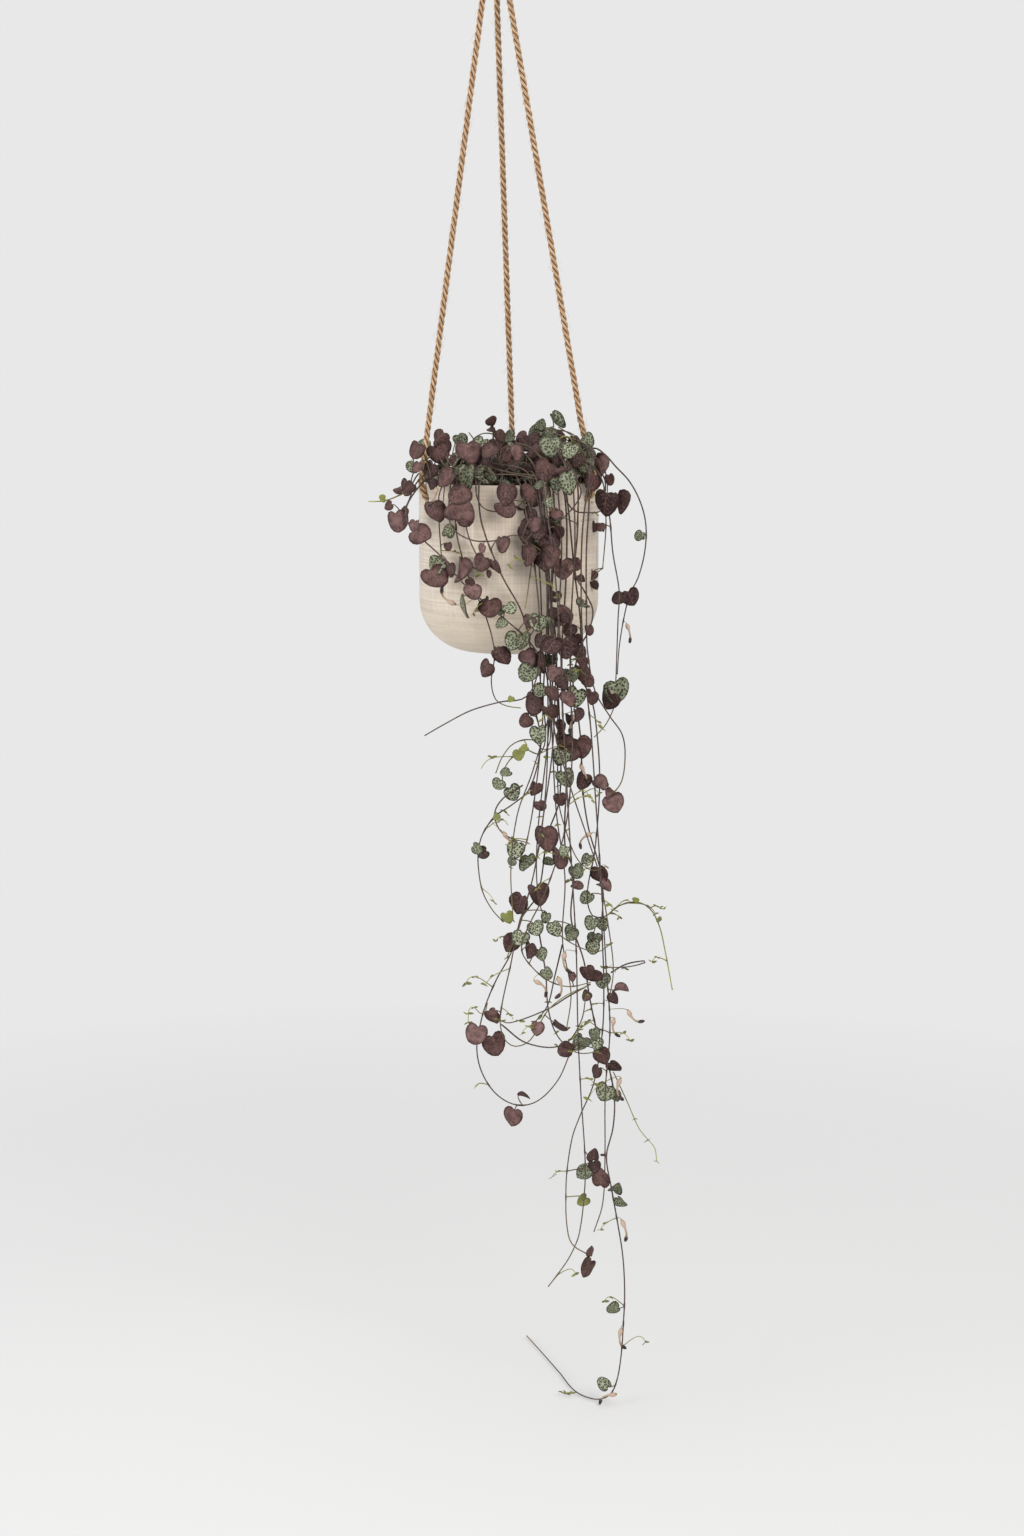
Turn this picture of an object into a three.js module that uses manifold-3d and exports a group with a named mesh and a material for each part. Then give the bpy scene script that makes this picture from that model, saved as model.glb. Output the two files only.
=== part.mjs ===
// String of hearts in a hanging planter: a stoneware pot on three jute ropes, planted with trailing vines.
// Millimetres, +Z up, +X to the right and +Y to the back. The origin is where a hook bears in the hanging loop.
import * as THREE from 'three';
import { mergeVertices } from 'three/addons/utils/BufferGeometryUtils.js';
import Module from 'manifold-3d';

const wasm = await Module();
wasm.setup();

// Driving dimensions
const gap = 0.3; // left between pieces that touch
const endGap = 1.2; // left at a slanting rope end
const potRadius = 85;
const potHeight = 160;
const wallThickness = 6;
const baseThickness = 8;
const cornerRadius = 50;
const lipRadius = 2;
const soilDepth = 27; // from the rim down to the soil
const ropeRadius = 3;
const holeClearance = 0.6; // between the rope and the edge of its hole
const holeDepth = 17; // from the rim down to the rope holes
const knotRadius = 9;
const topKnotRadius = 12;
const topKnotHeight = 30;
const ropeRise = 500; // from the rim up to the underside of the top knot
const loopReach = 46; // from the top knot up to the inside of the loop
const ropeSpread = 3.8; // from the top knot's axis to each rope's axis
const runSteps = 18; // along the straight of a rope
const potOffset = 13; // the pot's axis hangs this far to the right of the hook
const stemRadius = 0.8;
const stalkWidth = 1.1;
const leafThickness = 0.9;
const leafStandOff = 3; // from a stem's axis to the plane of its leaves
const roundSteps = 40; // facets around the pot

const rimHeight = -(ropeRise + topKnotHeight + loopReach);
const soilTop = -soilDepth;
const vineFoot = soilTop + gap;

const materials = {
  stoneware: { color: 0xcdbfb0, roughness: 0.85 },
  soil: { color: 0x3a2b20, roughness: 1 },
  jute: { color: 0xb98a55, roughness: 0.9 },
  vine: { color: 0x6b4348, roughness: 0.6 },
};

const planter = new THREE.Group();
const hungFromRim = new THREE.Group(); // its origin is the middle of the pot's rim
hungFromRim.position.set(potOffset, 0, rimHeight);
planter.add(hungFromRim);

function addPart(name, geometry, material, place = [0, 0, 0]) {
  const settings = { metalness: 0, ...materials[material] };
  const part = new THREE.Mesh(geometry, new THREE.MeshStandardMaterial(settings));
  part.name = name;
  part.position.set(...place);
  hungFromRim.add(part);
}

// A closed geometry as a solid that can be cut and joined
function solidOf(geometry) {
  const bare = geometry.clone();
  bare.deleteAttribute('normal');
  bare.deleteAttribute('uv');
  const merged = mergeVertices(bare, 1e-4);
  const corners = merged.index.array;
  const kept = [];
  for (let i = 0; i < corners.length; i += 3) {
    const [a, b, c] = corners.slice(i, i + 3);
    if (a !== b && b !== c && c !== a) kept.push(a, b, c);
  }
  const vertProperties = new Float32Array(merged.attributes.position.array);
  return new wasm.Manifold(new wasm.Mesh({ numProp: 3, vertProperties, triVerts: new Uint32Array(kept) }));
}

function geometryOf(solid) {
  const mesh = solid.getMesh();
  const geometry = new THREE.BufferGeometry();
  geometry.setAttribute('position', new THREE.BufferAttribute(mesh.vertProperties, 3));
  geometry.setIndex(new THREE.BufferAttribute(mesh.triVerts, 1));
  return geometry;
}

// A smooth route through its points, stepped evenly from point to point and not by length
class Route extends THREE.CatmullRomCurve3 {
  constructor(points) {
    super(points.map((point) => new THREE.Vector3(...point)));
  }
  getPointAt(u, target) {
    return this.getPoint(u, target);
  }
  getTangentAt(u, target) {
    return this.getTangent(u, target);
  }
}

function tube(points, radius, sides, stepsBetween) {
  const section = new THREE.Shape();
  for (let i = 0; i < sides; i += 1) {
    const angle = (2 * Math.PI * i) / sides;
    if (i === 0) section.moveTo(radius, 0);
    else section.lineTo(radius * Math.cos(angle), radius * Math.sin(angle));
  }
  const steps = (points.length - 1) * stepsBetween;
  return new THREE.ExtrudeGeometry(section, { steps, extrudePath: new Route(points), bevelEnabled: false });
}

// A profile of radius and height, turned about the Z axis
function turned(profile, segments) {
  const points = profile.map(([radius, height]) => new THREE.Vector2(radius, height));
  return new THREE.LatheGeometry(points, segments).rotateX(Math.PI / 2);
}

// Points of a quarter round in a profile, about a centre, from one angle to another in degrees
function arc(radius, height, size, from, to, steps) {
  const points = [];
  for (let i = 0; i <= steps; i += 1) {
    const angle = THREE.MathUtils.degToRad(from + ((to - from) * i) / steps);
    points.push([radius + size * Math.cos(angle), height + size * Math.sin(angle)]);
  }
  return points;
}

// Ropes, from the top knot down to the pot's rim, in through the wall and up to a stopper knot
const ropeRoutes = {
  left: [[-74.8, -25.6, 56], [-79.8, -33.2, 14], [-81.4, -35.4, 0], [-78.8, -38.4, -10]],
  right: [[67.4, -27.4, 56], [77.4, -36.2, 14], [79.4, -39.4, 0], [75.6, -44.6, -10]],
  back: [[2.6, 79.4, 56], [4.2, 87.6, 14], [4.6, 88.7, 0], [4.7, 87.6, -9]],
};
const holeAngles = { left: 207, right: 327, back: 87 }; // degrees about the pot's axis, from +X
const knotAngles = { left: 205, right: -25, back: 90 }; // where each rope sits in the top knot

function polar(radius, degrees, height) {
  const angle = THREE.MathUtils.degToRad(degrees);
  return [radius * Math.cos(angle), radius * Math.sin(angle), height];
}

function ropeRoute(side) {
  const [x, y] = polar(ropeSpread, knotAngles[side], 0);
  const start = [x - potOffset, y, ropeRise - endGap];
  const [aboveRim, ...bend] = ropeRoutes[side];
  const run = [];
  for (let i = 0; i < runSteps; i += 1) {
    run.push(start.map((value, axis) => value + ((aboveRim[axis] - value) * i) / runSteps));
  }
  const outside = polar(potRadius - 1, holeAngles[side], -holeDepth + 1.8);
  const inside = polar(potRadius - wallThickness - 1.5, holeAngles[side], -holeDepth);
  return [...run, aboveRim, ...bend, outside, inside];
}

// Pot
const innerRadius = potRadius - wallThickness;
const innerCorner = cornerRadius - wallThickness;
const floorHeight = baseThickness - potHeight;
const potProfile = [
  [0, -potHeight],
  ...arc(potRadius - cornerRadius, cornerRadius - potHeight, cornerRadius, -90, 0, 6),
  ...arc(potRadius - lipRadius, -lipRadius, lipRadius, 0, 90, 1),
  ...arc(innerRadius + lipRadius, -lipRadius, lipRadius, 90, 180, 1),
  ...arc(innerRadius - innerCorner, floorHeight + innerCorner, innerCorner, 0, -90, 6),
  [0, floorHeight],
];
let pot = solidOf(turned(potProfile, roundSteps));
for (const side of ['left', 'right', 'back']) {
  const inward = polar(potRadius - wallThickness - 12, holeAngles[side], -holeDepth - 0.6);
  const throughWall = [...ropeRoute(side).slice(-4), inward];
  pot = pot.subtract(solidOf(tube(throughWall, ropeRadius + holeClearance, 8, 2)));
}
addPart('planter_pot', geometryOf(pot), 'stoneware');

// Soil, which fills the pot to below the rope holes
const soilRadius = innerRadius - gap;
const soilCorner = innerCorner - gap;
const soilProfile = [
  [0, floorHeight + gap],
  ...arc(soilRadius - soilCorner, floorHeight + gap + soilCorner, soilCorner, -90, 0, 6),
  [soilRadius, soilTop],
  [0, soilTop],
];
addPart('potting_soil', turned(soilProfile, roundSteps), 'soil');

// Ropes and their knots
for (const side of ['left', 'right', 'back']) {
  addPart(`rope_${side}`, tube(ropeRoute(side), ropeRadius, 8, 1), 'jute');
  const knot = new THREE.SphereGeometry(knotRadius, 12, 8).scale(1, 1, 0.9);
  const place = polar(potRadius - wallThickness - 2.4 - knotRadius, holeAngles[side], -holeDepth);
  addPart(`stopper_knot_${side}`, geometryOf(solidOf(knot)), 'jute', place);
}
const topKnotProfile = [
  [0, 0],
  [topKnotRadius - 3, 0],
  [topKnotRadius, 7],
  [topKnotRadius, topKnotHeight - 8],
  [topKnotRadius - 4, topKnotHeight],
  [0, topKnotHeight],
];
addPart('top_knot', turned(topKnotProfile, 16), 'jute', [-potOffset, 0, ropeRise]);

// Hanging loop, in the XZ plane, with both ends on the top knot
const loopSide = [[4, endGap], [5.6, 5], [8, 11], [13, 24], [13.5, 33], [9.5, 42.5], [4.5, 47.6]];
const loopTop = [0, loopReach + ropeRadius];
const mirrored = loopSide.map(([x, z]) => [-x, z]).reverse();
const loopRoute = [...loopSide, loopTop, ...mirrored].map(([x, z]) => [x, 0, z]);
addPart('hang_loop', tube(loopRoute, ropeRadius, 8, 1), 'jute', [-potOffset, 0, ropeRise + topKnotHeight]);

// A heart-shaped leaf one unit long, with its notch at the origin and its tip along +Y
const heart = new THREE.Shape();
heart.moveTo(0, 0.12);
heart.lineTo(0.4, -0.02);
heart.lineTo(0.5, 0.38);
heart.lineTo(0, 1);
heart.lineTo(-0.5, 0.38);
heart.lineTo(-0.4, -0.02);

// A leaf whose middle is at x and z, its tip turned by some degrees from straight down towards +X
function leafSolid(samples, [x, z, size, tip]) {
  const turn = THREE.MathUtils.degToRad(tip);
  const towardsTip = new THREE.Vector3(Math.sin(turn), 0, -Math.cos(turn));
  const across = new THREE.Vector3(0, -1, 0).cross(towardsTip);
  let nearest = samples[0];
  const flatDistance = (point) => Math.hypot(point.x - x, point.z - z);
  for (const point of samples) if (flatDistance(point) < flatDistance(nearest)) nearest = point;
  const outward = nearest.y > 20 ? 1 : -1;
  const notch = new THREE.Vector3(x, nearest.y + outward * leafStandOff, z).addScaledVector(towardsTip, -size / 2);
  const blade = new THREE.ExtrudeGeometry(heart, { depth: leafThickness / size, bevelEnabled: false });
  blade.translate(0, 0, -leafThickness / size / 2).scale(size, size, size);
  blade.applyMatrix4(new THREE.Matrix4().makeBasis(across, towardsTip, across.clone().cross(towardsTip)));
  blade.translate(notch.x, notch.y, notch.z);
  const stalkEnd = notch.clone().addScaledVector(towardsTip, size * 0.2);
  const along = stalkEnd.clone().sub(nearest);
  const stalk = new THREE.BoxGeometry(stalkWidth, stalkWidth, along.length());
  stalk.lookAt(along);
  stalk.translate((nearest.x + stalkEnd.x) / 2, (nearest.y + stalkEnd.y) / 2, (nearest.z + stalkEnd.z) / 2);
  return solidOf(blade).add(solidOf(stalk));
}

// Places on the axis of a stem where a leaf may grow, which its first stretch in the pot has none of
function stemSamples(points) {
  const samples = [];
  for (let i = 1; i < points.length; i += 1) {
    const from = new THREE.Vector3(...points[i - 1]);
    const to = new THREE.Vector3(...points[i]);
    for (let part = i === 1 ? 0.75 : 0.25; part <= 1; part += 0.25) samples.push(from.clone().lerp(to, part));
  }
  return samples;
}

// A vine: its stem with its larger leaves, as one body. Leaves are [x, z, length, tip angle].
function addVine(name, route, leaves) {
  const points = [[route[0][0], route[0][1], vineFoot], ...route];
  let vine = solidOf(tube(points, stemRadius, 4, 1));
  const samples = stemSamples(points);
  for (const leaf of leaves) vine = vine.add(leafSolid(samples, leaf));
  addPart(name, geometryOf(vine), 'vine');
}

// Vines that hang over the front of the rim, in the order they lie from the left of the pot to the right
addVine('vine_left_sprig', [
  [-46, -26, -14], [-60, -36, 4], [-76, -48, 9], [-86, -53, 0], [-93, -55, -16], [-101, -57, -31],
], [[-103, -36, 21, -10]]);
addVine('vine_left_tendril', [
  [-52, -10, -10], [-66, -18, 8], [-82, -22, 10], [-94, -26, -6], [-108, -30, -14], [-120, -32, -17], [-131, -33, -17],
], []);
addVine('vine_left_diagonal', [
  [-34, -42, -12], [-52, -54, 6], [-70, -62, 8], [-86, -66, -6], [-95, -68, -24], [-90, -73, -39], [-76, -81, -52],
  [-60, -91, -66], [-46, -93, -84], [-30, -96, -99], [-8, -101, -117], [18, -106, -140], [33, -109, -165],
  [38, -110, -214], [34, -110, -240], [22, -110, -231], [5, -110, -234], [-6, -110, -247], [-12, -110, -262],
], [[-80, -40, 20, 20], [-17, -110, 20, 30], [3, -139, 17, -30]]);
addVine('vine_front_short_left', [
  [-28, -50, -12], [-46, -66, 7], [-57, -74, 5], [-64, -77, -10], [-64, -76, -34], [-62, -76, -64],
], [[-68, -86, 21, -20]]);
addVine('vine_front_swag', [
  [-22, -55, -12], [-42, -72, 7], [-50, -78, 2], [-49, -79, -20], [-48, -79, -43], [-43, -83, -64], [-35, -87, -88],
  [-21, -93, -119], [-13, -97, -152], [-16, -98, -178], [-12, -98, -195], [-2, -98, -201], [11, -98, -203],
], [[-44, -80, 20, 15], [-6, -158, 18, 30]]);
addVine('vine_front_short', [
  [-15, -58, -12], [-32, -76, 7], [-38, -83, 0], [-39, -85, -36], [-33, -86, -56], [-25, -88, -70],
], []);
addVine('vine_front_slanting', [
  [-7, -60, -12], [-22, -81, 7], [-27, -89, 0], [-26, -90, -27], [-21, -92, -46], [-13, -94, -66], [-5, -95, -84],
  [12, -98, -115], [20, -100, -149], [23, -101, -199], [29, -102, -228], [25, -103, -277], [17, -104, -325],
  [10, -104, -345],
], [[24, -180, 20, 20], [32, -210, 16, 40], [18, -350, 18, 10]]);
addVine('vine_front_garland', [
  [-36, -32, -8], [-44, -58, 9], [-51, -84, 7], [-54, -97, -10], [-52, -99, -36], [-35, -102, -48], [-14, -105, -49],
  [8, -108, -44], [20, -109, -58], [18, -110, -90], [15, -110, -110],
], []);
addVine('vine_long_shoot', [
  [-2, -48, -8], [4, -76, 9], [9, -92, 5], [13, -98, -10], [22, -105, -60], [28, -113, -120], [27, -116, -165],
  [16, -117, -190], [-8, -117, -195], [-35, -117, -203], [-58, -117, -215], [-77, -117, -226],
], [[16, -22, 18, -15]]);
addVine('vine_bunch_left', [
  [4, -62, -8], [12, -84, 7], [17, -94, -2], [20, -97, -31], [27, -98, -66], [30, -98, -121], [29, -98, -177],
  [34, -99, -228], [28, -99, -246], [18, -99, -242], [4, -99, -248], [-5, -99, -262], [-6, -99, -278],
], [[29, -28, 16, 20]]);
addVine('vine_outer_loop', [
  [8, -46, -8], [18, -74, 12], [24, -93, 9], [28, -102, -8], [33, -105, -50], [35, -107, -110], [32, -107, -180],
  [29, -107, -240], [19, -107, -277], [4, -107, -291], [-13, -107, -303], [-24, -107, -319], [-28, -107, -334],
  [-28, -107, -352], [-24, -107, -374], [-15, -107, -391], [-5, -107, -402],
], [[36, -20, 16, 30]]);
addVine('vine_big_loop', [
  [14, -56, -8], [30, -79, 8], [36, -88, 2], [40, -94, -30], [41, -95, -66], [38, -96, -124], [43, -96, -157],
  [47, -96, -222], [47, -96, -288], [36, -98, -322], [27, -99, -377], [12, -100, -400], [2, -101, -433],
  [-11, -102, -457], [-20, -102, -478], [-26, -102, -498], [-30, -102, -524], [-25, -102, -548], [-11, -102, -569],
  [8, -102, -579], [27, -102, -575], [46, -102, -555], [57, -102, -530],
], [[38, -164, 18, -20], [52, -240, 16, 30], [38, -334, 24, 10], [20, -386, 21, -20],
  [-4, -424, 17, -30], [-35, -512, 20, -20], [-12, -519, 22, 20], [4, -592, 17, -10]]);
addVine('vine_inner_loop', [
  [26, -32, -6], [38, -66, 18], [43, -90, 10], [45, -99, -8], [48, -106, -50], [46, -111, -110], [43, -113, -170],
  [40, -114, -240], [32, -114, -300], [22, -114, -360], [8, -114, -408], [2, -114, -440], [-6, -114, -477],
  [-8, -114, -496], [-4, -114, -512], [6, -114, -519], [20, -114, -513], [36, -114, -485], [54, -114, -470],
  [74, -114, -461],
], []);
addVine('vine_longest', [
  [18, -42, 0], [36, -66, 16], [47, -84, 10], [51, -92, -8], [53, -98, -40], [52, -100, -90], [49, -101, -141],
  [49, -102, -195], [53, -103, -266], [52, -104, -330], [60, -104, -356], [58, -105, -400], [70, -105, -440],
  [75, -105, -472], [82, -105, -505], [92, -105, -535], [99, -105, -570], [98, -105, -600], [92, -105, -628],
  [97, -105, -660], [102, -105, -688], [108, -105, -726], [110, -105, -762], [109, -105, -793], [107, -105, -825],
  [103, -105, -850], [96, -104, -865], [83, -100, -870.5], [65, -82, -870.5], [50, -34, -870.5], [33, 20, -870.5],
  [18, 66, -870.5],
], [[48, -250, 19, -20], [60, -280, 18, 20], [44, -350, 18, -30], [90, -572, 17, -20]]);
addVine('vine_right_bunch', [
  [24, -50, -4], [42, -72, 12], [50, -81, 4], [55, -84, -25], [60, -85, -76], [66, -86, -124], [66, -87, -149],
  [59, -88, -175], [62, -89, -196], [67, -90, -239], [68, -90, -275], [74, -90, -316], [85, -90, -355],
  [88, -90, -380], [87, -91, -406], [89, -92, -461], [88, -93, -510], [80, -94, -560], [67, -95, -592],
  [60, -96, -612], [55, -97, -645], [54, -98, -670], [55, -99, -697], [60, -99, -716], [76, -99, -727],
], [[56, -138, 20, -20], [58, -186, 17, -10], [66, -206, 18, 20], [72, -250, 20, 20], [90, -366, 17, 20]]);
addVine('vine_arching', [
  [32, -42, 0], [52, -65, 16], [62, -75, 8], [63, -84, -40], [61, -93, -80], [70, -96, -97], [77, -97, -113],
  [74, -98, -130], [66, -98, -146], [62, -98, -166], [75, -98, -192], [80, -98, -215], [84, -98, -270],
  [80, -98, -335], [73, -98, -378], [78, -98, -398], [89, -98, -399], [102, -98, -389], [118, -98, -385],
  [131, -98, -391], [140, -98, -407], [146, -98, -432], [153, -98, -469],
], [[74, -176, 16, -10]]);
addVine('vine_right_return', [
  [38, -24, 0], [60, -50, 22], [71, -66, 16], [74, -78, 0], [71, -92, -60], [71, -103, -115], [72, -106, -149],
  [79, -106, -186], [93, -106, -210], [104, -106, -226], [107, -106, -245], [104, -106, -270], [95, -106, -283],
], [[70, -40, 18, 10], [99, -292, 17, 20]]);
addVine('vine_crossing', [
  [26, -18, 2], [44, -58, 24], [54, -88, 18], [58, -102, 4], [60, -112, -50], [57, -120, -110], [56, -122, -170],
  [58, -122, -240], [52, -122, -310], [34, -122, -370], [16, -122, -408], [12, -122, -426], [22, -122, -442],
  [38, -122, -455], [56, -122, -460], [76, -122, -456],
], [[66, -150, 17, 20], [50, -215, 16, -20]]);
addVine('vine_lower_left', [
  [10, -30, 6], [24, -64, 20], [30, -96, 12], [32, -112, -6], [40, -120, -60], [46, -128, -130], [50, -130, -220],
  [56, -130, -320], [62, -130, -420], [64, -130, -500], [67, -130, -560], [71, -130, -620], [71, -130, -650],
  [66, -130, -695], [58, -130, -716], [48, -130, -732], [37, -130, -747],
], [[42, -70, 20, -20], [54, -168, 18, 10], [52, -360, 16, -20], [76, -630, 16, 10]]);
addVine('vine_lower_right', [
  [40, -14, 6], [64, -48, 34], [76, -66, 30], [74, -88, 14], [67, -104, -40], [66, -116, -110], [69, -119, -165],
  [75, -120, -220], [80, -120, -290], [85, -120, -360], [90, -120, -440], [94, -120, -500], [90, -120, -560], [90, -120, -630],
  [88, -120, -670], [80, -120, -697],
], [[78, -30, 16, 20]]);
addVine('vine_right_parallel', [
  [46, -38, 0], [64, -50, 18], [76, -58, 18], [86, -64, 4], [89, -66, -11], [93, -68, -30], [96, -70, -62],
  [102, -74, -98], [101, -76, -122], [99, -80, -183], [98, -82, -202], [90, -84, -220], [79, -86, -232],
], [[90, -22, 22, -20], [103, -26, 21, 15], [104, -192, 20, 10], [92, -196, 19, -20]]);
addVine('vine_right_loop', [
  [50, -18, 0], [64, -22, 24], [79, -22, 32], [90, -32, 26], [99, -42, 16], [112, -50, 2], [122, -54, -17],
  [127, -57, -38], [126, -59, -62], [120, -60, -86], [113, -61, -100], [108, -62, -118], [103, -63, -148],
  [101, -64, -176],
], [[116, -108, 16, 25]]);
addVine('vine_right_edge', [
  [56, -4, -8], [70, -12, 12], [82, -18, 14], [90, -23, 2], [90, -27, -14], [91, -30, -40], [88, -32, -80],
], []);

// Short sprigs of the crown, which pile up over the soil and the rim
addVine('crown_front_left', [[-44, -42, -4], [-54, -56, 20], [-66, -64, 30], [-76, -66, 22]], [
  [-62, 36, 22, 20], [-82, 30, 17, -30], [-74, 13, 17, -50]]);
addVine('crown_front', [[-26, -44, -8], [-32, -58, 22], [-40, -70, 26], [-46, -84, 12], [-48, -90, -12]], [
  [-34, 30, 23, 20], [-58, 10, 17, -40], [-38, 4, 22, 20], [-46, -24, 24, 10]]);
addVine('crown_middle', [[-4, -54, -8], [-8, -72, 14], [-6, -90, 8], [-6, -97, -6], [-5, -98, -18]], [
  [-2, 22, 17, 20], [-6, -4, 17, -10], [-4, -24, 17, 20]]);
addVine('crown_upright', [[-12, -20, 6], [-14, -22, 32], [-15, -24, 50]], []);
addVine('crown_peak', [[10, -12, 0], [18, -16, 28], [30, -20, 48], [42, -24, 52]], [
  [14, 34, 16, -60]]);
addVine('crown_right_front', [[26, -28, 4], [32, -54, 34], [40, -80, 36], [48, -100, 26], [54, -106, 12]], [
  [32, 38, 20, 10], [45, 12, 20, -10], [58, 28, 16, 40], [60, 3, 21, 10]]);
addVine('crown_right', [[54, -22, 4], [64, -34, 30], [72, -40, 34]], [
  [60, 10, 20, -10], [76, 20, 17, 20]]);
addVine('crown_right_side', [[54, 12, -6], [68, 10, 18], [82, 4, 22], [92, 0, 6], [93, -2, -22]], []);
addVine('crown_back_right', [[34, 38, -6], [46, 50, 22], [58, 64, 20], [66, 72, 0], [66, 74, -34]], [
  [40, 34, 18, -10], [66, 26, 17, 30], [62, -14, 20, -10], [68, -46, 17, 10]]);
addVine('crown_back', [[-14, 46, -6], [-20, 64, 20], [-26, 84, 16], [-30, 92, -4], [-31, 92, -48]], [
  [-10, 30, 19, 20], [-28, 32, 17, -30], [-22, -8, 20, 10], [-40, -26, 18, -20], [-30, -62, 17, 0]]);
addVine('crown_back_left', [[-40, 26, -6], [-52, 38, 20], [-66, 54, 22], [-76, 62, 2], [-77, 62, -40]], [
  [-46, 36, 18, 10], [-66, 40, 16, -30], [-70, -12, 19, -20], [-80, -44, 16, 10]]);
addVine('crown_left', [[-50, 6, -8], [-62, 8, 16], [-78, 6, 22], [-91, 4, 6], [-93, 4, -16]], [
  [-62, 32, 19, 10], [-96, -6, 17, -10]]);
addVine('crown_centre', [[-24, 4, 6], [-30, 6, 34], [-38, 8, 46]], [[-46, 48, 17, -60], [-22, 36, 19, 40]]);

export default planter;
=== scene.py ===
import math
import random
import bpy
import bmesh
from mathutils import Euler, Matrix, Quaternion, Vector, noise
from mathutils.geometry import interpolate_bezier


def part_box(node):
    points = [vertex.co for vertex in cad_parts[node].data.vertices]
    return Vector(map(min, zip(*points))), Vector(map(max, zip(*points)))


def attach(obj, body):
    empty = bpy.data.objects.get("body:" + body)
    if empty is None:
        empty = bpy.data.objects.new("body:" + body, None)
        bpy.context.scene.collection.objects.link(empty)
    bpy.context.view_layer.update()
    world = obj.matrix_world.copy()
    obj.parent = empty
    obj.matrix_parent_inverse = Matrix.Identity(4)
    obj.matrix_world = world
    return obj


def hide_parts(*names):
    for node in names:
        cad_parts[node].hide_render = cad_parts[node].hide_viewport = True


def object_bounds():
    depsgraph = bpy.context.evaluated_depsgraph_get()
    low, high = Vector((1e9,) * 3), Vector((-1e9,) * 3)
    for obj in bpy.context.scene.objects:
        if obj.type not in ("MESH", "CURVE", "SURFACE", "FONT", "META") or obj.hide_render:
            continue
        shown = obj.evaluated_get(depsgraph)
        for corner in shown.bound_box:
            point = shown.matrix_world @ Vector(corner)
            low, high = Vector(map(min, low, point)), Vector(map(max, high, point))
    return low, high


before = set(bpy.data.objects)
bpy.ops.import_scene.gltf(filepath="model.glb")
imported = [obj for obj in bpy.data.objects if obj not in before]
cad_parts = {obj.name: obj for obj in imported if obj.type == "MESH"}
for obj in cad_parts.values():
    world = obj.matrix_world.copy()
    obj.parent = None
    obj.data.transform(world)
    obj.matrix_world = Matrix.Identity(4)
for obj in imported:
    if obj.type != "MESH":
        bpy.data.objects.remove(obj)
cadBox = [list(corner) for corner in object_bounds()]
scene = bpy.context.scene
mm = 0.001

potLow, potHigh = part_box("planter_pot")
rim = Vector(((potLow.x + potHigh.x) / 2, 0, potHigh.z))  # the middle of the pot's rim
floorHeight = cadBox[0][2] - 0.0015  # the longest vine's tail lies on it

# Camera
cameraSetup = {"right": 0.003, "away": 2.5, "aboveRim": 0.113, "pitch": 8.8, "lens": 61.7}


def placeCamera():
    data = bpy.data.cameras.new("camera")
    data.lens = cameraSetup["lens"]
    data.sensor_width = 36
    camera = bpy.data.objects.new("camera", data)
    camera.location = rim + Vector((cameraSetup["right"], -cameraSetup["away"], cameraSetup["aboveRim"]))
    camera.rotation_euler = (math.radians(90 - cameraSetup["pitch"]), 0, 0)
    scene.collection.objects.link(camera)
    scene.camera = camera


placeCamera()
print("camera placed")


# Material helpers
def linear(code):
    # a colour written as six hexadecimal digits, in the renderer's own scale
    parts = [int(code[i:i + 2], 16) / 255 for i in (0, 2, 4)]
    return tuple(c / 12.92 if c < 0.04045 else ((c + 0.055) / 1.055) ** 2.4 for c in parts) + (1,)


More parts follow.
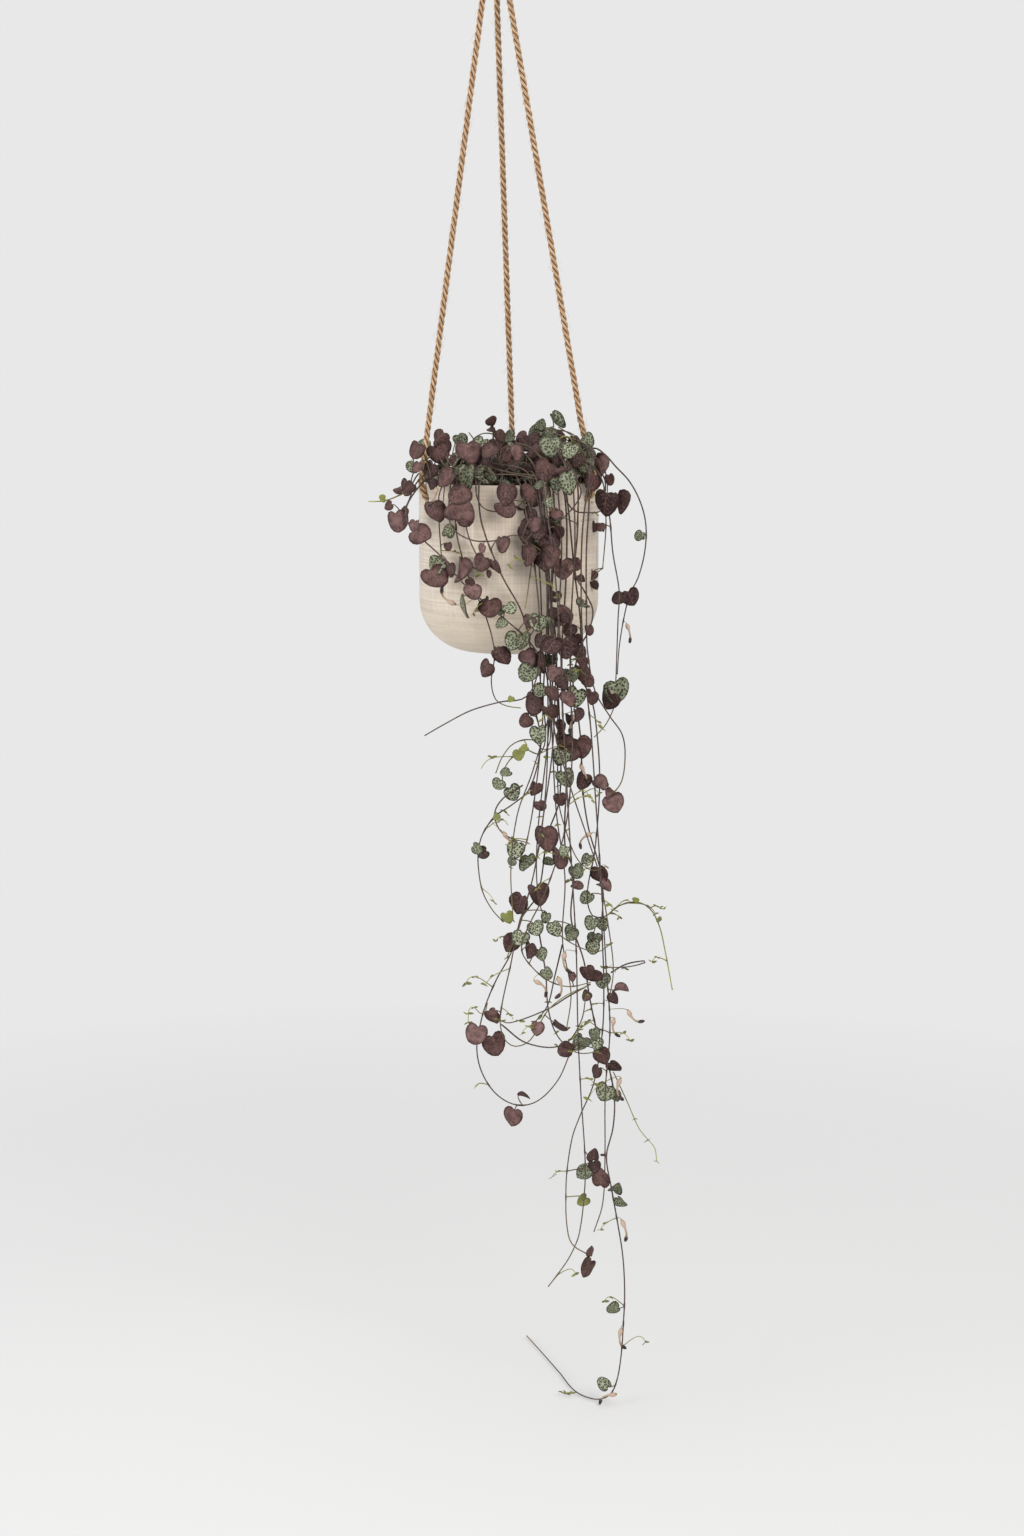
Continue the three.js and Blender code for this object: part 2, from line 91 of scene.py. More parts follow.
class Finish:
    # a material with its shader, and short ways to add the nodes that every finish here needs
    def __init__(self, name, roughness, **sockets):
        self.material = bpy.data.materials.new(name)
        self.material.use_nodes = True
        self.tree = self.material.node_tree
        self.shader = self.tree.nodes["Principled BSDF"]
        self.shader.inputs["Roughness"].default_value = roughness
        for socket, value in sockets.items():
            self.shader.inputs[socket.replace("_", " ")].default_value = value

    def node(self, kind, inputs=None, **settings):
        made = self.tree.nodes.new("ShaderNode" + kind)
        for key, value in settings.items():
            setattr(made, key, value)
        for key, value in (inputs or {}).items():
            self.feed(made.inputs[key], value)
        return made

    def feed(self, socket, value):
        if isinstance(value, bpy.types.NodeSocket):
            self.tree.links.new(value, socket)
        else:
            socket.default_value = value

    def objectCoords(self, scale=(1, 1, 1), turn=(0, 0, 0)):
        coords = self.node("TexCoord").outputs["Object"]
        return self.mapped(coords, scale, turn)

    def mapped(self, coords, scale=(1, 1, 1), turn=(0, 0, 0), shift=(0, 0, 0)):
        return self.node("Mapping", {"Vector": coords, "Scale": scale, "Rotation": turn, "Location": shift}).outputs[0]

    def attribute(self, name, output="Fac"):
        return self.node("Attribute", attribute_name=name).outputs[output]

    def noise(self, coords, scale, detail=3, roughness=0.55, distortion=0):
        inputs = {"Vector": coords, "Scale": scale, "Detail": detail, "Roughness": roughness, "Distortion": distortion}
        return self.node("TexNoise", inputs).outputs["Fac"]

    def ramp(self, value, stops, interpolation="LINEAR"):
        made = self.node("ValToRGB", {"Fac": value})
        made.color_ramp.interpolation = interpolation
        elements = made.color_ramp.elements
        while len(elements) < len(stops):
            elements.new(0.5)
        for element, (position, colour) in zip(elements, stops):
            element.position = position
            element.color = linear(colour) if isinstance(colour, str) else (colour, colour, colour, 1)
        return made.outputs["Color"]

    def mix(self, amount, first, second, blend="MIX"):
        made = self.node("Mix", data_type="RGBA", blend_type=blend)
        self.feed(made.inputs[0], amount)
        self.feed(made.inputs[6], linear(first) if isinstance(first, str) else first)
        self.feed(made.inputs[7], linear(second) if isinstance(second, str) else second)
        return made.outputs[2]

    def sums(self, operation, *values):
        made = self.node("Math", operation=operation)
        for socket, value in zip(made.inputs, values):
            self.feed(socket, value)
        return made.outputs[0]

    def spread(self, value, low, high, first=0.0, last=1.0):
        inputs = {"Value": value, "From Min": low, "From Max": high, "To Min": first, "To Max": last}
        return self.node("MapRange", inputs).outputs[0]

    def colour(self, value):
        self.feed(self.shader.inputs["Base Color"], value)

    def roughness(self, value):
        self.feed(self.shader.inputs["Roughness"], value)

    def bump(self, height, strength, distance, below=None):
        inputs = {"Height": height, "Strength": strength, "Distance": distance}
        if below is not None:
            inputs["Normal"] = below
        made = self.node("Bump", inputs).outputs[0]
        self.feed(self.shader.inputs["Normal"], made)
        return made


# Mesh helpers
def smoothLine(points, spacing):
    # a smooth line through the points, stepped about evenly
    points = [Vector(point) for point in points]
    line = [points[0]]
    for i in range(len(points) - 1):
        start, end = points[i], points[i + 1]
        reach = (end - start).length / 3
        leaving = (end - points[max(i - 1, 0)]).normalized() * reach
        arriving = (points[min(i + 2, len(points) - 1)] - start).normalized() * reach
        steps = max(2, round(3 * reach / spacing) + 1)
        line += interpolate_bezier(start, start + leaving, end - arriving, end, steps)[1:]
    return line


def framesAlong(line):
    # a turn for each point that faces along the line and doesn't twist
    frames = []
    forward = (line[1] - line[0]).normalized()
    turn = forward.to_track_quat("Z", "Y")
    for i, point in enumerate(line):
        ahead = (line[min(i + 1, len(line) - 1)] - line[max(i - 1, 0)]).normalized()
        turn = forward.rotation_difference(ahead) @ turn
        forward = ahead
        frames.append((point, turn.copy()))
    return frames


def sweep(bm, rings, sides, slot, paint=None):
    # a closed tube: rings are (centre, turn, radius), and paint(vert, place, index) fills in a ring's attributes
    places = [Matrix.LocRotScale(centre, turn, Vector((radius, radius, radius))) for centre, turn, radius in rings]
    made = bmesh.ops.create_circle(bm, cap_ends=True, segments=sides, radius=1, matrix=places[0])
    verts = made["verts"]
    faces = set(verts[0].link_faces)
    edges = list({edge for vert in verts for edge in vert.link_edges})
    for index, place in enumerate(places):
        if index:
            grown = bmesh.ops.extrude_edge_only(bm, edges=edges)["geom"]
            verts = [item for item in grown if isinstance(item, bmesh.types.BMVert)]
            faces.update(item for item in grown if isinstance(item, bmesh.types.BMFace))
            edges = [item for item in grown if isinstance(item, bmesh.types.BMEdge)
                     and all(vert in verts for vert in item.verts)]
            bmesh.ops.transform(bm, matrix=place @ places[index - 1].inverted(), verts=verts)
        if paint:
            for vert in verts:
                paint(vert, place, index)
    faces.update(bmesh.ops.contextual_create(bm, geom=edges)["faces"])
    bmesh.ops.recalc_face_normals(bm, faces=list(faces))
    for face in faces:
        face.material_index = slot
        face.smooth = True
    return faces


def finishPiece(name, bm, finishes, nodes=(), sharp=None):
    mesh = bpy.data.meshes.new(name)
    bm.to_mesh(mesh)
    bm.free()
    for finish in finishes:
        mesh.materials.append(finish.material)
    if sharp:
        mesh.set_sharp_from_angle(angle=math.radians(sharp))
    piece = bpy.data.objects.new(name, mesh)
    scene.collection.objects.link(piece)
    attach(piece, "root")
    if nodes:
        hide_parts(*nodes)
    return piece


# Jute ropes
rope = {
    "diameter": 0.006, "strandRadius": 0.00152, "strandCentre": 0.00152, "lay": 0.021, "step": 0.0014,
    "hairs": 260, "knotHairs": 60, "hairRadius": 0.00007,
    "rise": 0.5, "endGap": 0.0012, "spread": 0.0038, "runSteps": 18, "offset": 0.013,
    "holeDepth": 0.017, "potRadius": 0.085, "wall": 0.006,
}
ropeBends = {  # from above the rim down to the outside of the hole, in metres from the middle of the rim
    "left": [(-0.0748, -0.0256, 0.056), (-0.0798, -0.0332, 0.014), (-0.0814, -0.0354, 0), (-0.0788, -0.0384, -0.01)],
    "right": [(0.0674, -0.0274, 0.056), (0.0774, -0.0362, 0.014), (0.0794, -0.0394, 0), (0.0756, -0.0446, -0.01)],
    "back": [(0.0026, 0.0794, 0.056), (0.0042, 0.0876, 0.014), (0.0046, 0.0887, 0), (0.0047, 0.0876, -0.009)],
}
holeAngles = {"left": 207, "right": 327, "back": 87}
knotAngles = {"left": 205, "right": -25, "back": 90}

jute = Finish("jute", 0.88, Sheen_Weight=0.35, Sheen_Roughness=0.5, Specular_IOR_Level=0.15)
fibre = jute.attribute("fibre", "Vector")
broadPatches = jute.noise(jute.objectCoords((1, 1, 1)), 60, 2)
yarn = jute.noise(jute.mapped(fibre, (1900, 1900, 210)), 1, 3, 0.6)
fineFibre = jute.noise(jute.mapped(fibre, (5200, 5200, 420)), 1, 2, 0.5)
paintedCreaseShade = jute.attribute("paintedCreaseShade")
straw = jute.ramp(yarn, [(0.28, "80603F"), (0.42, "AD8660"), (0.55, "D5B189"), (0.70, "F2DCBF")])
straw = jute.mix(jute.spread(broadPatches, 0.35, 0.7, 0, 0.3), straw, "DDBB98", "MULTIPLY")
# painted shade: the strands darken towards the rope's middle, in the creases where they press together
straw = jute.mix(jute.spread(paintedCreaseShade, 0.0, 0.8, 0, 0.95), straw, "4B321F")
jute.colour(straw)
jute.bump(fineFibre, 0.7, 0.0003, jute.bump(yarn, 0.9, 0.0006))


def polar(radius, degrees, height):
    angle = math.radians(degrees)
    return Vector((radius * math.cos(angle), radius * math.sin(angle), height))


def ropeRoute(side):
    # from the top knot down to the inside of its hole
    knotPlace = polar(rope["spread"], knotAngles[side], rope["rise"] - rope["endGap"])
    start = knotPlace - Vector((rope["offset"], 0, 0))
    bends = [Vector(point) for point in ropeBends[side]]
    run = [start.lerp(bends[0], i / rope["runSteps"]) for i in range(rope["runSteps"])]
    outside = polar(rope["potRadius"] - 0.001, holeAngles[side], -rope["holeDepth"] + 0.0018)
    inside = polar(rope["potRadius"] - rope["wall"] - 0.0015, holeAngles[side], -rope["holeDepth"])
    return [rim + point for point in [*run, *bends, outside, inside]]


def lineLength(line):
    return sum((b - a).length for a, b in zip(line, line[1:]))


def evenLine(line, step):
    # the same line with its points a whole number of equal steps apart
    count = max(4, round(lineLength(line) / step))
    stride = lineLength(line) / count
    even, ahead, reached = [line[0].copy()], 0.0, 0
    for a, b in zip(line, line[1:]):
        span = (b - a).length
        while reached < count - 1 and ahead + span >= stride * (reached + 1):
            reached += 1
            even.append(a.lerp(b, (stride * reached - ahead) / span))
        ahead += span
    return [*even, line[-1].copy()], stride


def meshOf(bm):
    holder = bpy.data.meshes.new("holder")
    bm.to_mesh(holder)
    bm.free()
    return holder


def pour(bm, holder):
    # adds a mesh to the one being built, and throws it away
    bm.from_mesh(holder)
    bpy.data.meshes.remove(holder)


def strandMesh(steps, stride, size, centre, strand, chance):
    # one strand of a straight rope, spun up along Z
    bm = bmesh.new()
    fibreLayer = bm.verts.layers.float_vector.new("fibre")
    paintedCreaseShadeLayer = bm.verts.layers.float.new("paintedCreaseShade")
    around = 2 * math.pi * strand / 3
    hub = Vector((math.cos(around), math.sin(around), 0)) * centre
    ring = bmesh.ops.create_circle(bm, cap_ends=False, segments=10, radius=size, matrix=Matrix.Translation(hub))
    edges = list({edge for vert in ring["verts"] for edge in vert.link_edges})
    turned = -2 * math.pi * steps * stride / rope["lay"]
    bmesh.ops.spin(bm, geom=edges, cent=(0, 0, 0), axis=(0, 0, 1), dvec=(0, 0, stride), angle=turned, steps=steps)
    bmesh.ops.holes_fill(bm, edges=[edge for edge in bm.edges if edge.is_boundary], sides=0)
    bmesh.ops.recalc_face_normals(bm, faces=bm.faces)
    shade = chance.uniform(-4, 4)
    for vert in bm.verts:
        angle = around - 2 * math.pi * vert.co.z / rope["lay"]
        hub = Vector((math.cos(angle) * centre, math.sin(angle) * centre, vert.co.z))
        local = vert.co - hub
        outward = Vector(vert.co.xy).length / (size + centre)
        vert[fibreLayer] = (local.x, local.y + strand, vert.co.z + shade)
        # mask for the painted shade in the creases: 1 where a strand turns in towards its neighbours, 0 on its outside
        vert[paintedCreaseShadeLayer] = max(0.0, min(1.0, 2.1 - 2.3 * outward))
        swell = 1 + 0.1 * noise.noise(Vector((vert.co.z * 90, strand * 7, shade)))
        vert.co = hub + local * swell
    for face in bm.faces:
        face.smooth = True
    return meshOf(bm)


def hairMesh():
    # a bent fibre a unit long, standing off the XY plane
    bm = bmesh.new()
    bend = smoothLine([(0, 0, 0), (0.35, 0, 0.3), (1, 0, 0.5)], 0.3)
    rings = [(point, turn, rope["hairRadius"] / 0.005) for point, turn in framesAlong(bend)]
    sweep(bm, rings, 3, 0)
    return meshOf(bm)


def twistRope(bm, line, chance, thickness=1.0):
    # three strands laid together along a line
    line, stride = evenLine(line, rope["step"])
    frames = framesAlong(line)
    size, centre = rope["strandRadius"] * thickness, rope["strandCentre"] * thickness
    for strand in range(3):
        holder = strandMesh(len(line) - 1, stride, size, centre, strand, chance)
        for vert in holder.vertices:
            point, turn = frames[min(round(vert.co.z / stride), len(frames) - 1)]
            vert.co = point + turn @ Vector((vert.co.x, vert.co.y, 0))
        pour(bm, holder)


def addHairs(bm, line, chance, count):
    # loose fibres that stand off a rope
    frames = framesAlong(line)
    template = hairMesh()
    for _ in range(count):
        point, turn = frames[chance.randrange(2, len(line) - 2)]
        around = Matrix.Rotation(chance.uniform(0, 2 * math.pi), 4, "Z")
        lean = Euler((chance.uniform(-0.6, 0.6), chance.uniform(-0.3, 0.2), chance.choice((0, math.pi)))).to_matrix()
        stretch = Matrix.Diagonal((chance.uniform(0.003, 0.009), 0.005, chance.uniform(0.002, 0.006), 1))
        lift = Matrix.Translation((0, 0, rope["diameter"] * 0.43))
        upright = Matrix.Rotation(math.radians(90), 4, "Y")
        holder = template.copy()
        holder.transform(Matrix.Translation(point) @ turn.to_matrix().to_4x4() @ around @ upright @ lift
                         @ lean.to_4x4() @ stretch)
        pour(bm, holder)
    bpy.data.meshes.remove(template)


ropeLines, ropePieces, stopperPieces = {}, {}, {}
fuzz = bmesh.new()
for side in ("left", "right", "back"):
    bm = bmesh.new()
    line = smoothLine(ropeRoute(side), rope["step"])
    ropeLines[side] = line
    twistRope(bm, line, random.Random(side))
    addHairs(fuzz, line, random.Random(side + "fuzz"), rope["hairs"])
    ropePieces[side] = finishPiece(f"jute_rope_{side}", bm, [jute], [f"rope_{side}"])
finishPiece("jute_fuzz", fuzz, [jute])
print("ropes laid")

# Stopper knots inside the pot, each tied in the end of its rope
stopperKnot = {"fromWall": 0.0114, "size": 0.0019, "thickness": 0.8, "points": 60}
for side in ("left", "right", "back"):
    middle = rim + polar(rope["potRadius"] - rope["wall"] - stopperKnot["fromWall"], holeAngles[side], -rope["holeDepth"])
    inward = Euler((0, math.radians(90), math.radians(holeAngles[side])))
    size = stopperKnot["size"]
    line = []
    for i in range(stopperKnot["points"] + 1):
        t = 2 * math.pi * i / stopperKnot["points"]
        loop = Vector((math.sin(t) + 2 * math.sin(2 * t), math.cos(t) - 2 * math.cos(2 * t), -1.6 * math.sin(3 * t)))
        loop.rotate(inward)
        line.append(middle + loop * size)
    bm = bmesh.new()
    twistRope(bm, smoothLine(line, rope["step"]), random.Random(side + "knot"), stopperKnot["thickness"])
    stopperPieces[side] = finishPiece(f"tied_end_{side}", bm, [jute], [f"stopper_knot_{side}"])

# The top knot: rope wound round the three ropes and the two legs of the hanging loop
topKnot = {"radius": 0.0089, "height": 0.030, "turns": 4.4, "legSpread": 0.004}
knotFoot = rim + Vector((-rope["offset"], 0, rope["rise"]))
bm = bmesh.new()
chance = random.Random("knot")
winding = []
stepsPerTurn = 20
for i in range(round(topKnot["turns"] * stepsPerTurn) + 1):
    around = 360 * i / stepsPerTurn
    rise = 0.0034 + (topKnot["height"] - 0.0068) * i / (topKnot["turns"] * stepsPerTurn)
    winding.append(knotFoot + polar(topKnot["radius"], around, rise))
tuckedFrom = knotFoot + polar(0.004, -30, 0.0034)
tuckedTo = knotFoot + polar(0.004, 360 * topKnot["turns"] + 30, topKnot["height"] - 0.0034)
twistRope(bm, smoothLine([tuckedFrom, *winding, tuckedTo], rope["step"]), chance)
addHairs(bm, winding, chance, rope["knotHairs"])
for side, angle in knotAngles.items():
    foot = knotFoot + polar(rope["spread"], angle, -rope["endGap"])
    head = knotFoot + polar(rope["spread"], angle, topKnot["height"] * 0.85)
    twistRope(bm, smoothLine([foot, head], rope["step"]), chance)
for lean in (-1, 1):
    foot = knotFoot + Vector((lean * topKnot["legSpread"], 0, topKnot["height"] * 0.2))
    head = knotFoot + Vector((lean * topKnot["legSpread"], 0, topKnot["height"] + rope["endGap"]))
    twistRope(bm, smoothLine([foot, head], rope["step"]), chance)
gatheringKnot = finishPiece("gathering_knot", bm, [jute], ["top_knot"])

# The hanging loop, from one side of the top knot to the other
loopSide = [(0.004, 0.0012), (0.0056, 0.005), (0.008, 0.011), (0.013, 0.024), (0.0135, 0.033), (0.0095, 0.0425),
            (0.0045, 0.0476)]
loopTop = [(0, 0.049)]
loopRoute = [*loopSide, *loopTop, *[(-x, z) for x, z in reversed(loopSide)]]
loopFoot = knotFoot + Vector((0, 0, topKnot["height"]))
loopLine = smoothLine([loopFoot + Vector((x, 0, z)) for x, z in loopRoute], rope["step"])
bm = bmesh.new()
twistRope(bm, loopLine, random.Random("loop"))
hangingLoop = finishPiece("hanging_loop", bm, [jute], ["hang_loop"])

print("knots and loop tied")


# Pot
pot = {
    "radius": 0.085, "height": 0.160, "wall": 0.006, "base": 0.008, "corner": 0.050, "lip": 0.0026,
    "segments": 160, "cornerSteps": 16, "lipSteps": 5, "wallRows": 10,
    "holeRadius": 0.0036, "holeBevel": 0.0007, "footDip": 0.0018, "footRadius": 0.030,
}

stoneware = Finish("stoneware", 0.78, Specular_IOR_Level=0.28, Sheen_Weight=0.3, Sheen_Roughness=0.45)
clay = stoneware.objectCoords()
drifts = stoneware.noise(stoneware.mapped(clay, (7, 7, 16)), 1, 3, 0.6, 0.4)
rings = stoneware.noise(stoneware.mapped(clay, (9, 9, 700)), 1, 4, 0.62)
bands = stoneware.noise(stoneware.mapped(clay, (5, 5, 150)), 1, 3, 0.55)
streaks = stoneware.noise(stoneware.mapped(clay, (520, 520, 26)), 1, 3, 0.55)
grain = stoneware.noise(clay, 1500, 3, 0.7)
specks = stoneware.noise(stoneware.mapped(clay, (1, 1, 1), (0.3, 0.2, 0)), 950, 2, 0.5)
glaze = stoneware.ramp(drifts, [(0.30, "D0C0AF"), (0.5, "E0D2C2"), (0.72, "EBE0D3")])
glaze = stoneware.mix(stoneware.spread(rings, 0.40, 0.68, 0, 0.55), glaze, "B6A492")
glaze = stoneware.mix(stoneware.spread(bands, 0.50, 0.72, 0, 0.34), glaze, "AA9885")
glaze = stoneware.mix(stoneware.spread(streaks, 0.48, 0.70, 0, 0.40), glaze, "EDE6DC")
glaze = stoneware.mix(stoneware.spread(specks, 0.70, 0.76, 0, 0.45), glaze, "7E6C5A")
low = stoneware.node("SeparateXYZ", {0: clay}).outputs["Z"]
warmth = stoneware.spread(low, rim.z - 0.16, rim.z - 0.09, 0.55, 0)
glaze = stoneware.mix(warmth, glaze, "D4C4AB")
stoneware.colour(glaze)
stoneware.roughness(stoneware.spread(drifts, 0.3, 0.7, 0.70, 0.86))
stoneware.bump(grain, 0.25, 0.0003, stoneware.bump(streaks, 0.22, 0.0006, stoneware.bump(rings, 0.42, 0.0009)))


def quarterRound(radius, height, size, start, end, steps):
    points = []
    for i in range(steps + 1):
        angle = math.radians(start + (end - start) * i / steps)
        points.append((radius + size * math.cos(angle), height + size * math.sin(angle)))
    return points


def spinProfile(profile, segments, middle):
    # a closed profile of radius and height, which starts and ends on the axis, turned about it
    bm = bmesh.new()
    verts = [bm.verts.new((radius, 0, height)) for radius, height in profile]
    edges = [bm.edges.new(pair) for pair in zip(verts, verts[1:])]
    bmesh.ops.spin(bm, geom=edges, cent=(0, 0, 0), axis=(0, 0, 1), angle=2 * math.pi, steps=segments, use_merge=True)
    bmesh.ops.remove_doubles(bm, verts=bm.verts, dist=0.00001)
    bmesh.ops.recalc_face_normals(bm, faces=bm.faces)
    bmesh.ops.translate(bm, verts=bm.verts, vec=middle)
    for face in bm.faces:
        face.smooth = True
    return bm


def rows(radius, start, end, count):
    return [(radius, start + (end - start) * i / count) for i in range(1, count)]


inner = pot["radius"] - pot["wall"]
innerCorner = pot["corner"] - pot["wall"]
potFloor = pot["base"] - pot["height"]
flat = pot["radius"] - pot["corner"]
wallFoot = pot["corner"] - pot["height"]
profile = [
    (0, pot["footDip"] - pot["height"]), (pot["footRadius"] - 0.003, pot["footDip"] - pot["height"]),
    (pot["footRadius"], 0.0003 - pot["height"]), (pot["footRadius"] + 0.001, -pot["height"]),
    *quarterRound(flat, wallFoot, pot["corner"], -90, 0, pot["cornerSteps"]),
    *rows(pot["radius"], wallFoot, -pot["lip"], pot["wallRows"]),
    *quarterRound(pot["radius"] - pot["lip"], -pot["lip"], pot["lip"], 0, 90, pot["lipSteps"]),
    *quarterRound(inner + pot["lip"], -pot["lip"], pot["lip"], 90, 180, pot["lipSteps"]),
    *rows(inner, -pot["lip"], potFloor + innerCorner, pot["wallRows"]),
    *quarterRound(inner - innerCorner, potFloor + innerCorner, innerCorner, 0, -90, pot["cornerSteps"] // 2),
    (0, potFloor),
]
bm = spinProfile(profile, pot["segments"], rim)
potPiece = finishPiece("stoneware_pot", bm, [stoneware], ["planter_pot"])


def cutHoles():
    # rope holes, bored along the last stretch of each rope
    bm = bmesh.new()
    for side, line in ropeLines.items():
        inside = line[-1]
        outside = line[-8]
        axis = (outside - inside).normalized()
        middle = inside + axis * 0.004
        place = Matrix.LocRotScale(middle, axis.to_track_quat("Z", "Y"), None)
        bmesh.ops.create_cone(bm, cap_ends=True, segments=24, radius1=pot["holeRadius"], radius2=pot["holeRadius"],
                              depth=0.034, matrix=place)
    mesh = bpy.data.meshes.new("borer")
    bm.to_mesh(mesh)
    bm.free()
    borer = bpy.data.objects.new("borer", mesh)
    scene.collection.objects.link(borer)
    cut = potPiece.modifiers.new("holes", "BOOLEAN")
    cut.object = borer
    cut.solver = "EXACT"
    bpy.context.view_layer.update()
    bored = bpy.data.meshes.new_from_object(potPiece.evaluated_get(bpy.context.evaluated_depsgraph_get()))
    potPiece.modifiers.clear()
    potPiece.data = bored
    bored.set_sharp_from_angle(angle=math.radians(40))
    bpy.data.objects.remove(borer)


cutHoles()
print("pot thrown")

# Soil
soil = {"depth": 0.027, "clearance": 0.0004, "rings": 14, "segments": 72, "lumps": 0.0028, "crumbs": 620,
        "crumbSize": (0.0016, 0.0052)}
peat = Finish("pottingMix", 0.97, Specular_IOR_Level=0.12)
peatPlace = peat.objectCoords()
peatLumps = peat.noise(peatPlace, 190, 4, 0.65)
peatGrain = peat.noise(peatPlace, 900, 3, 0.7)
peat.colour(peat.ramp(peatLumps, [(0.25, "1B1310"), (0.5, "33241B"), (0.66, "4A3628"), (0.85, "66503C")]))
peat.bump(peatGrain, 0.8, 0.001, peat.bump(peatLumps, 0.9, 0.002))


def soilRise(x, y):
    # loose mix in lumps, on the whole a little below the given depth
    lump = noise.noise(Vector((x * 120, y * 120, 0))) + 0.5 * noise.noise(Vector((x * 330, y * 330, 4)))
    return soil["lumps"] * (lump - 0.7)


soilRadius = inner - soil["clearance"]
soilCorner = innerCorner - soil["clearance"]
soilFloor = potFloor + soil["clearance"]
profile = [
    (0, soilFloor),
    *quarterRound(soilRadius - soilCorner, soilFloor + soilCorner, soilCorner, -90, 0, 8),
    *[(soilRadius * (1 - i / soil["rings"]), -soil["depth"]) for i in range(soil["rings"] + 1)],
]
bm = spinProfile(profile, soil["segments"], rim)
for vert in bm.verts:
    if vert.co.z > rim.z - soil["depth"] - 0.0005:
        offset = vert.co - rim
        near = max(0.0, 1 - (Vector(offset.xy).length / soilRadius) ** 8)
        vert.co.z += soilRise(offset.x, offset.y) * near
chance = random.Random("soil")
crumbTemplates = []
for shape in range(5):
    crumb = bmesh.new()
    bmesh.ops.create_icosphere(crumb, subdivisions=1, radius=1)
    for vert in crumb.verts:
        vert.co *= chance.uniform(0.65, 1.2)
    crumbTemplates.append(meshOf(crumb))
for _ in range(soil["crumbs"]):
    angle = chance.uniform(0, 2 * math.pi)
    out = (soilRadius - 0.005) * math.sqrt(chance.random())
    size = chance.uniform(*soil["crumbSize"])
    x, y = out * math.cos(angle), out * math.sin(angle)
    place = rim + Vector((x, y, soilRise(x, y) - soil["depth"] + size * 0.2))
    turn = Euler((chance.uniform(-0.5, 0.5), chance.uniform(-0.5, 0.5), chance.uniform(0, 6.3)))
    stretch = Vector((size, size * chance.uniform(0.4, 0.8), size * chance.uniform(0.25, 0.5)))
    holder = chance.choice(crumbTemplates).copy()
    holder.transform(Matrix.LocRotScale(place, turn, stretch))
    pour(bm, holder)
for template in crumbTemplates:
    bpy.data.meshes.remove(template)
finishPiece("soil_and_bark", bm, [peat], ["potting_soil"])
print("soil filled")


# Vine finishes
vineSkin = Finish("vineSkin", 0.6, Specular_IOR_Level=0.3)
stemAge = vineSkin.attribute("youth")
stemMottle = vineSkin.noise(vineSkin.objectCoords(), 420, 2)
bark = vineSkin.mix(vineSkin.spread(stemMottle, 0.35, 0.65), "382C28", "63524C")
bark = vineSkin.mix(vineSkin.spread(stemAge, 0.0, 0.4), bark, "6E6146")
bark = vineSkin.mix(vineSkin.spread(stemAge, 0.4, 1.0), bark, "A9A750")
vineSkin.colour(bark)
vineSkin.bump(stemMottle, 0.4, 0.0002)


def leafFinish(name, roughness):
    # a leaf's face, with its across, along and blush ready for its colours; blush is the leaf's own tone, raised on
    # crown leaves as painted shade
    made = Finish(name, roughness, Specular_IOR_Level=0.25)
    flat = made.node("UVMap", uv_map="leaf").outputs[0]
    parts = made.node("SeparateXYZ", {0: flat})
    across = made.sums("ABSOLUTE", made.sums("SUBTRACT", parts.outputs["X"], 0.5))
    blushAndShade = made.attribute("blushAndShade")
    youth = made.attribute("youth")
    shifted = made.node("VectorMath", {0: flat}, operation="ADD")
    own = made.node("CombineXYZ", {"X": made.sums("MULTIPLY", blushAndShade, 37.0), "Y": made.sums("MULTIPLY", blushAndShade, 59.0)})
    made.feed(shifted.inputs[1], own.outputs[0])
    return made, shifted.outputs[0], across, parts.outputs["Y"], blushAndShade, youth


def veinLines(made, across, along, width):
    # the midrib and the side veins that leave it, 1 on a vein and 0 between
    midrib = made.spread(across, 0, width, 1, 0)
    slant = made.sums("SUBTRACT", along, made.sums("MULTIPLY", across, 0.9))
    waves = made.sums("SINE", made.sums("MULTIPLY", slant, 34.0))
    side = made.sums("MULTIPLY", made.spread(waves, 0.86, 1.0), made.spread(across, 0.02, 0.42, 0.9, 0.1))
    return made.sums("MAXIMUM", midrib, side)


leafTop, flat, across, along, blushAndShade, youth = leafFinish("leafTop", 0.52)
wavy = leafTop.noise(flat, 7, 2)
cells = leafTop.node("TexVoronoi", {"Vector": flat, "Scale": 7.4, "Randomness": 0.85}, voronoi_dimensions="2D")
fleck = leafTop.noise(flat, 17, 2, 0.6)
reach = leafTop.sums("ADD", cells.outputs["Distance"], leafTop.spread(fleck, 0.3, 0.7, -0.1, 0.1))
spots = leafTop.sums("MULTIPLY", leafTop.spread(reach, 0.40, 0.30), leafTop.spread(wavy, 0.30, 0.38))
veins = veinLines(leafTop, across, along, 0.03)
sage = leafTop.ramp(leafTop.noise(flat, 5, 3), [(0.3, "7D8266"), (0.5, "A2A78B"), (0.7, "C2C8AF")])
sage = leafTop.mix(leafTop.spread(leafTop.attribute("border"), 0.45, 0.95, 0, 0.8), sage, "3B3D2A")
sage = leafTop.mix(leafTop.sums("MULTIPLY", spots, 0.95), sage, "1D2016")
sage = leafTop.mix(leafTop.sums("MULTIPLY", veins, 0.3), sage, "484A36")
# the leaf's own tone and painted shade: a higher blush darkens the upper face, and crown leaves have theirs raised to
# paint the shade inside the crown
sage = leafTop.mix(leafTop.spread(blushAndShade, 0.15, 0.85, 0, 0.62), sage, "4A4B39")
sage = leafTop.mix(leafTop.spread(youth, 0.3, 1), sage, "878B47")
leafTop.colour(sage)
leafTop.bump(leafTop.sums("SUBTRACT", leafTop.noise(flat, 30, 2), veins), 0.5, 0.0004)

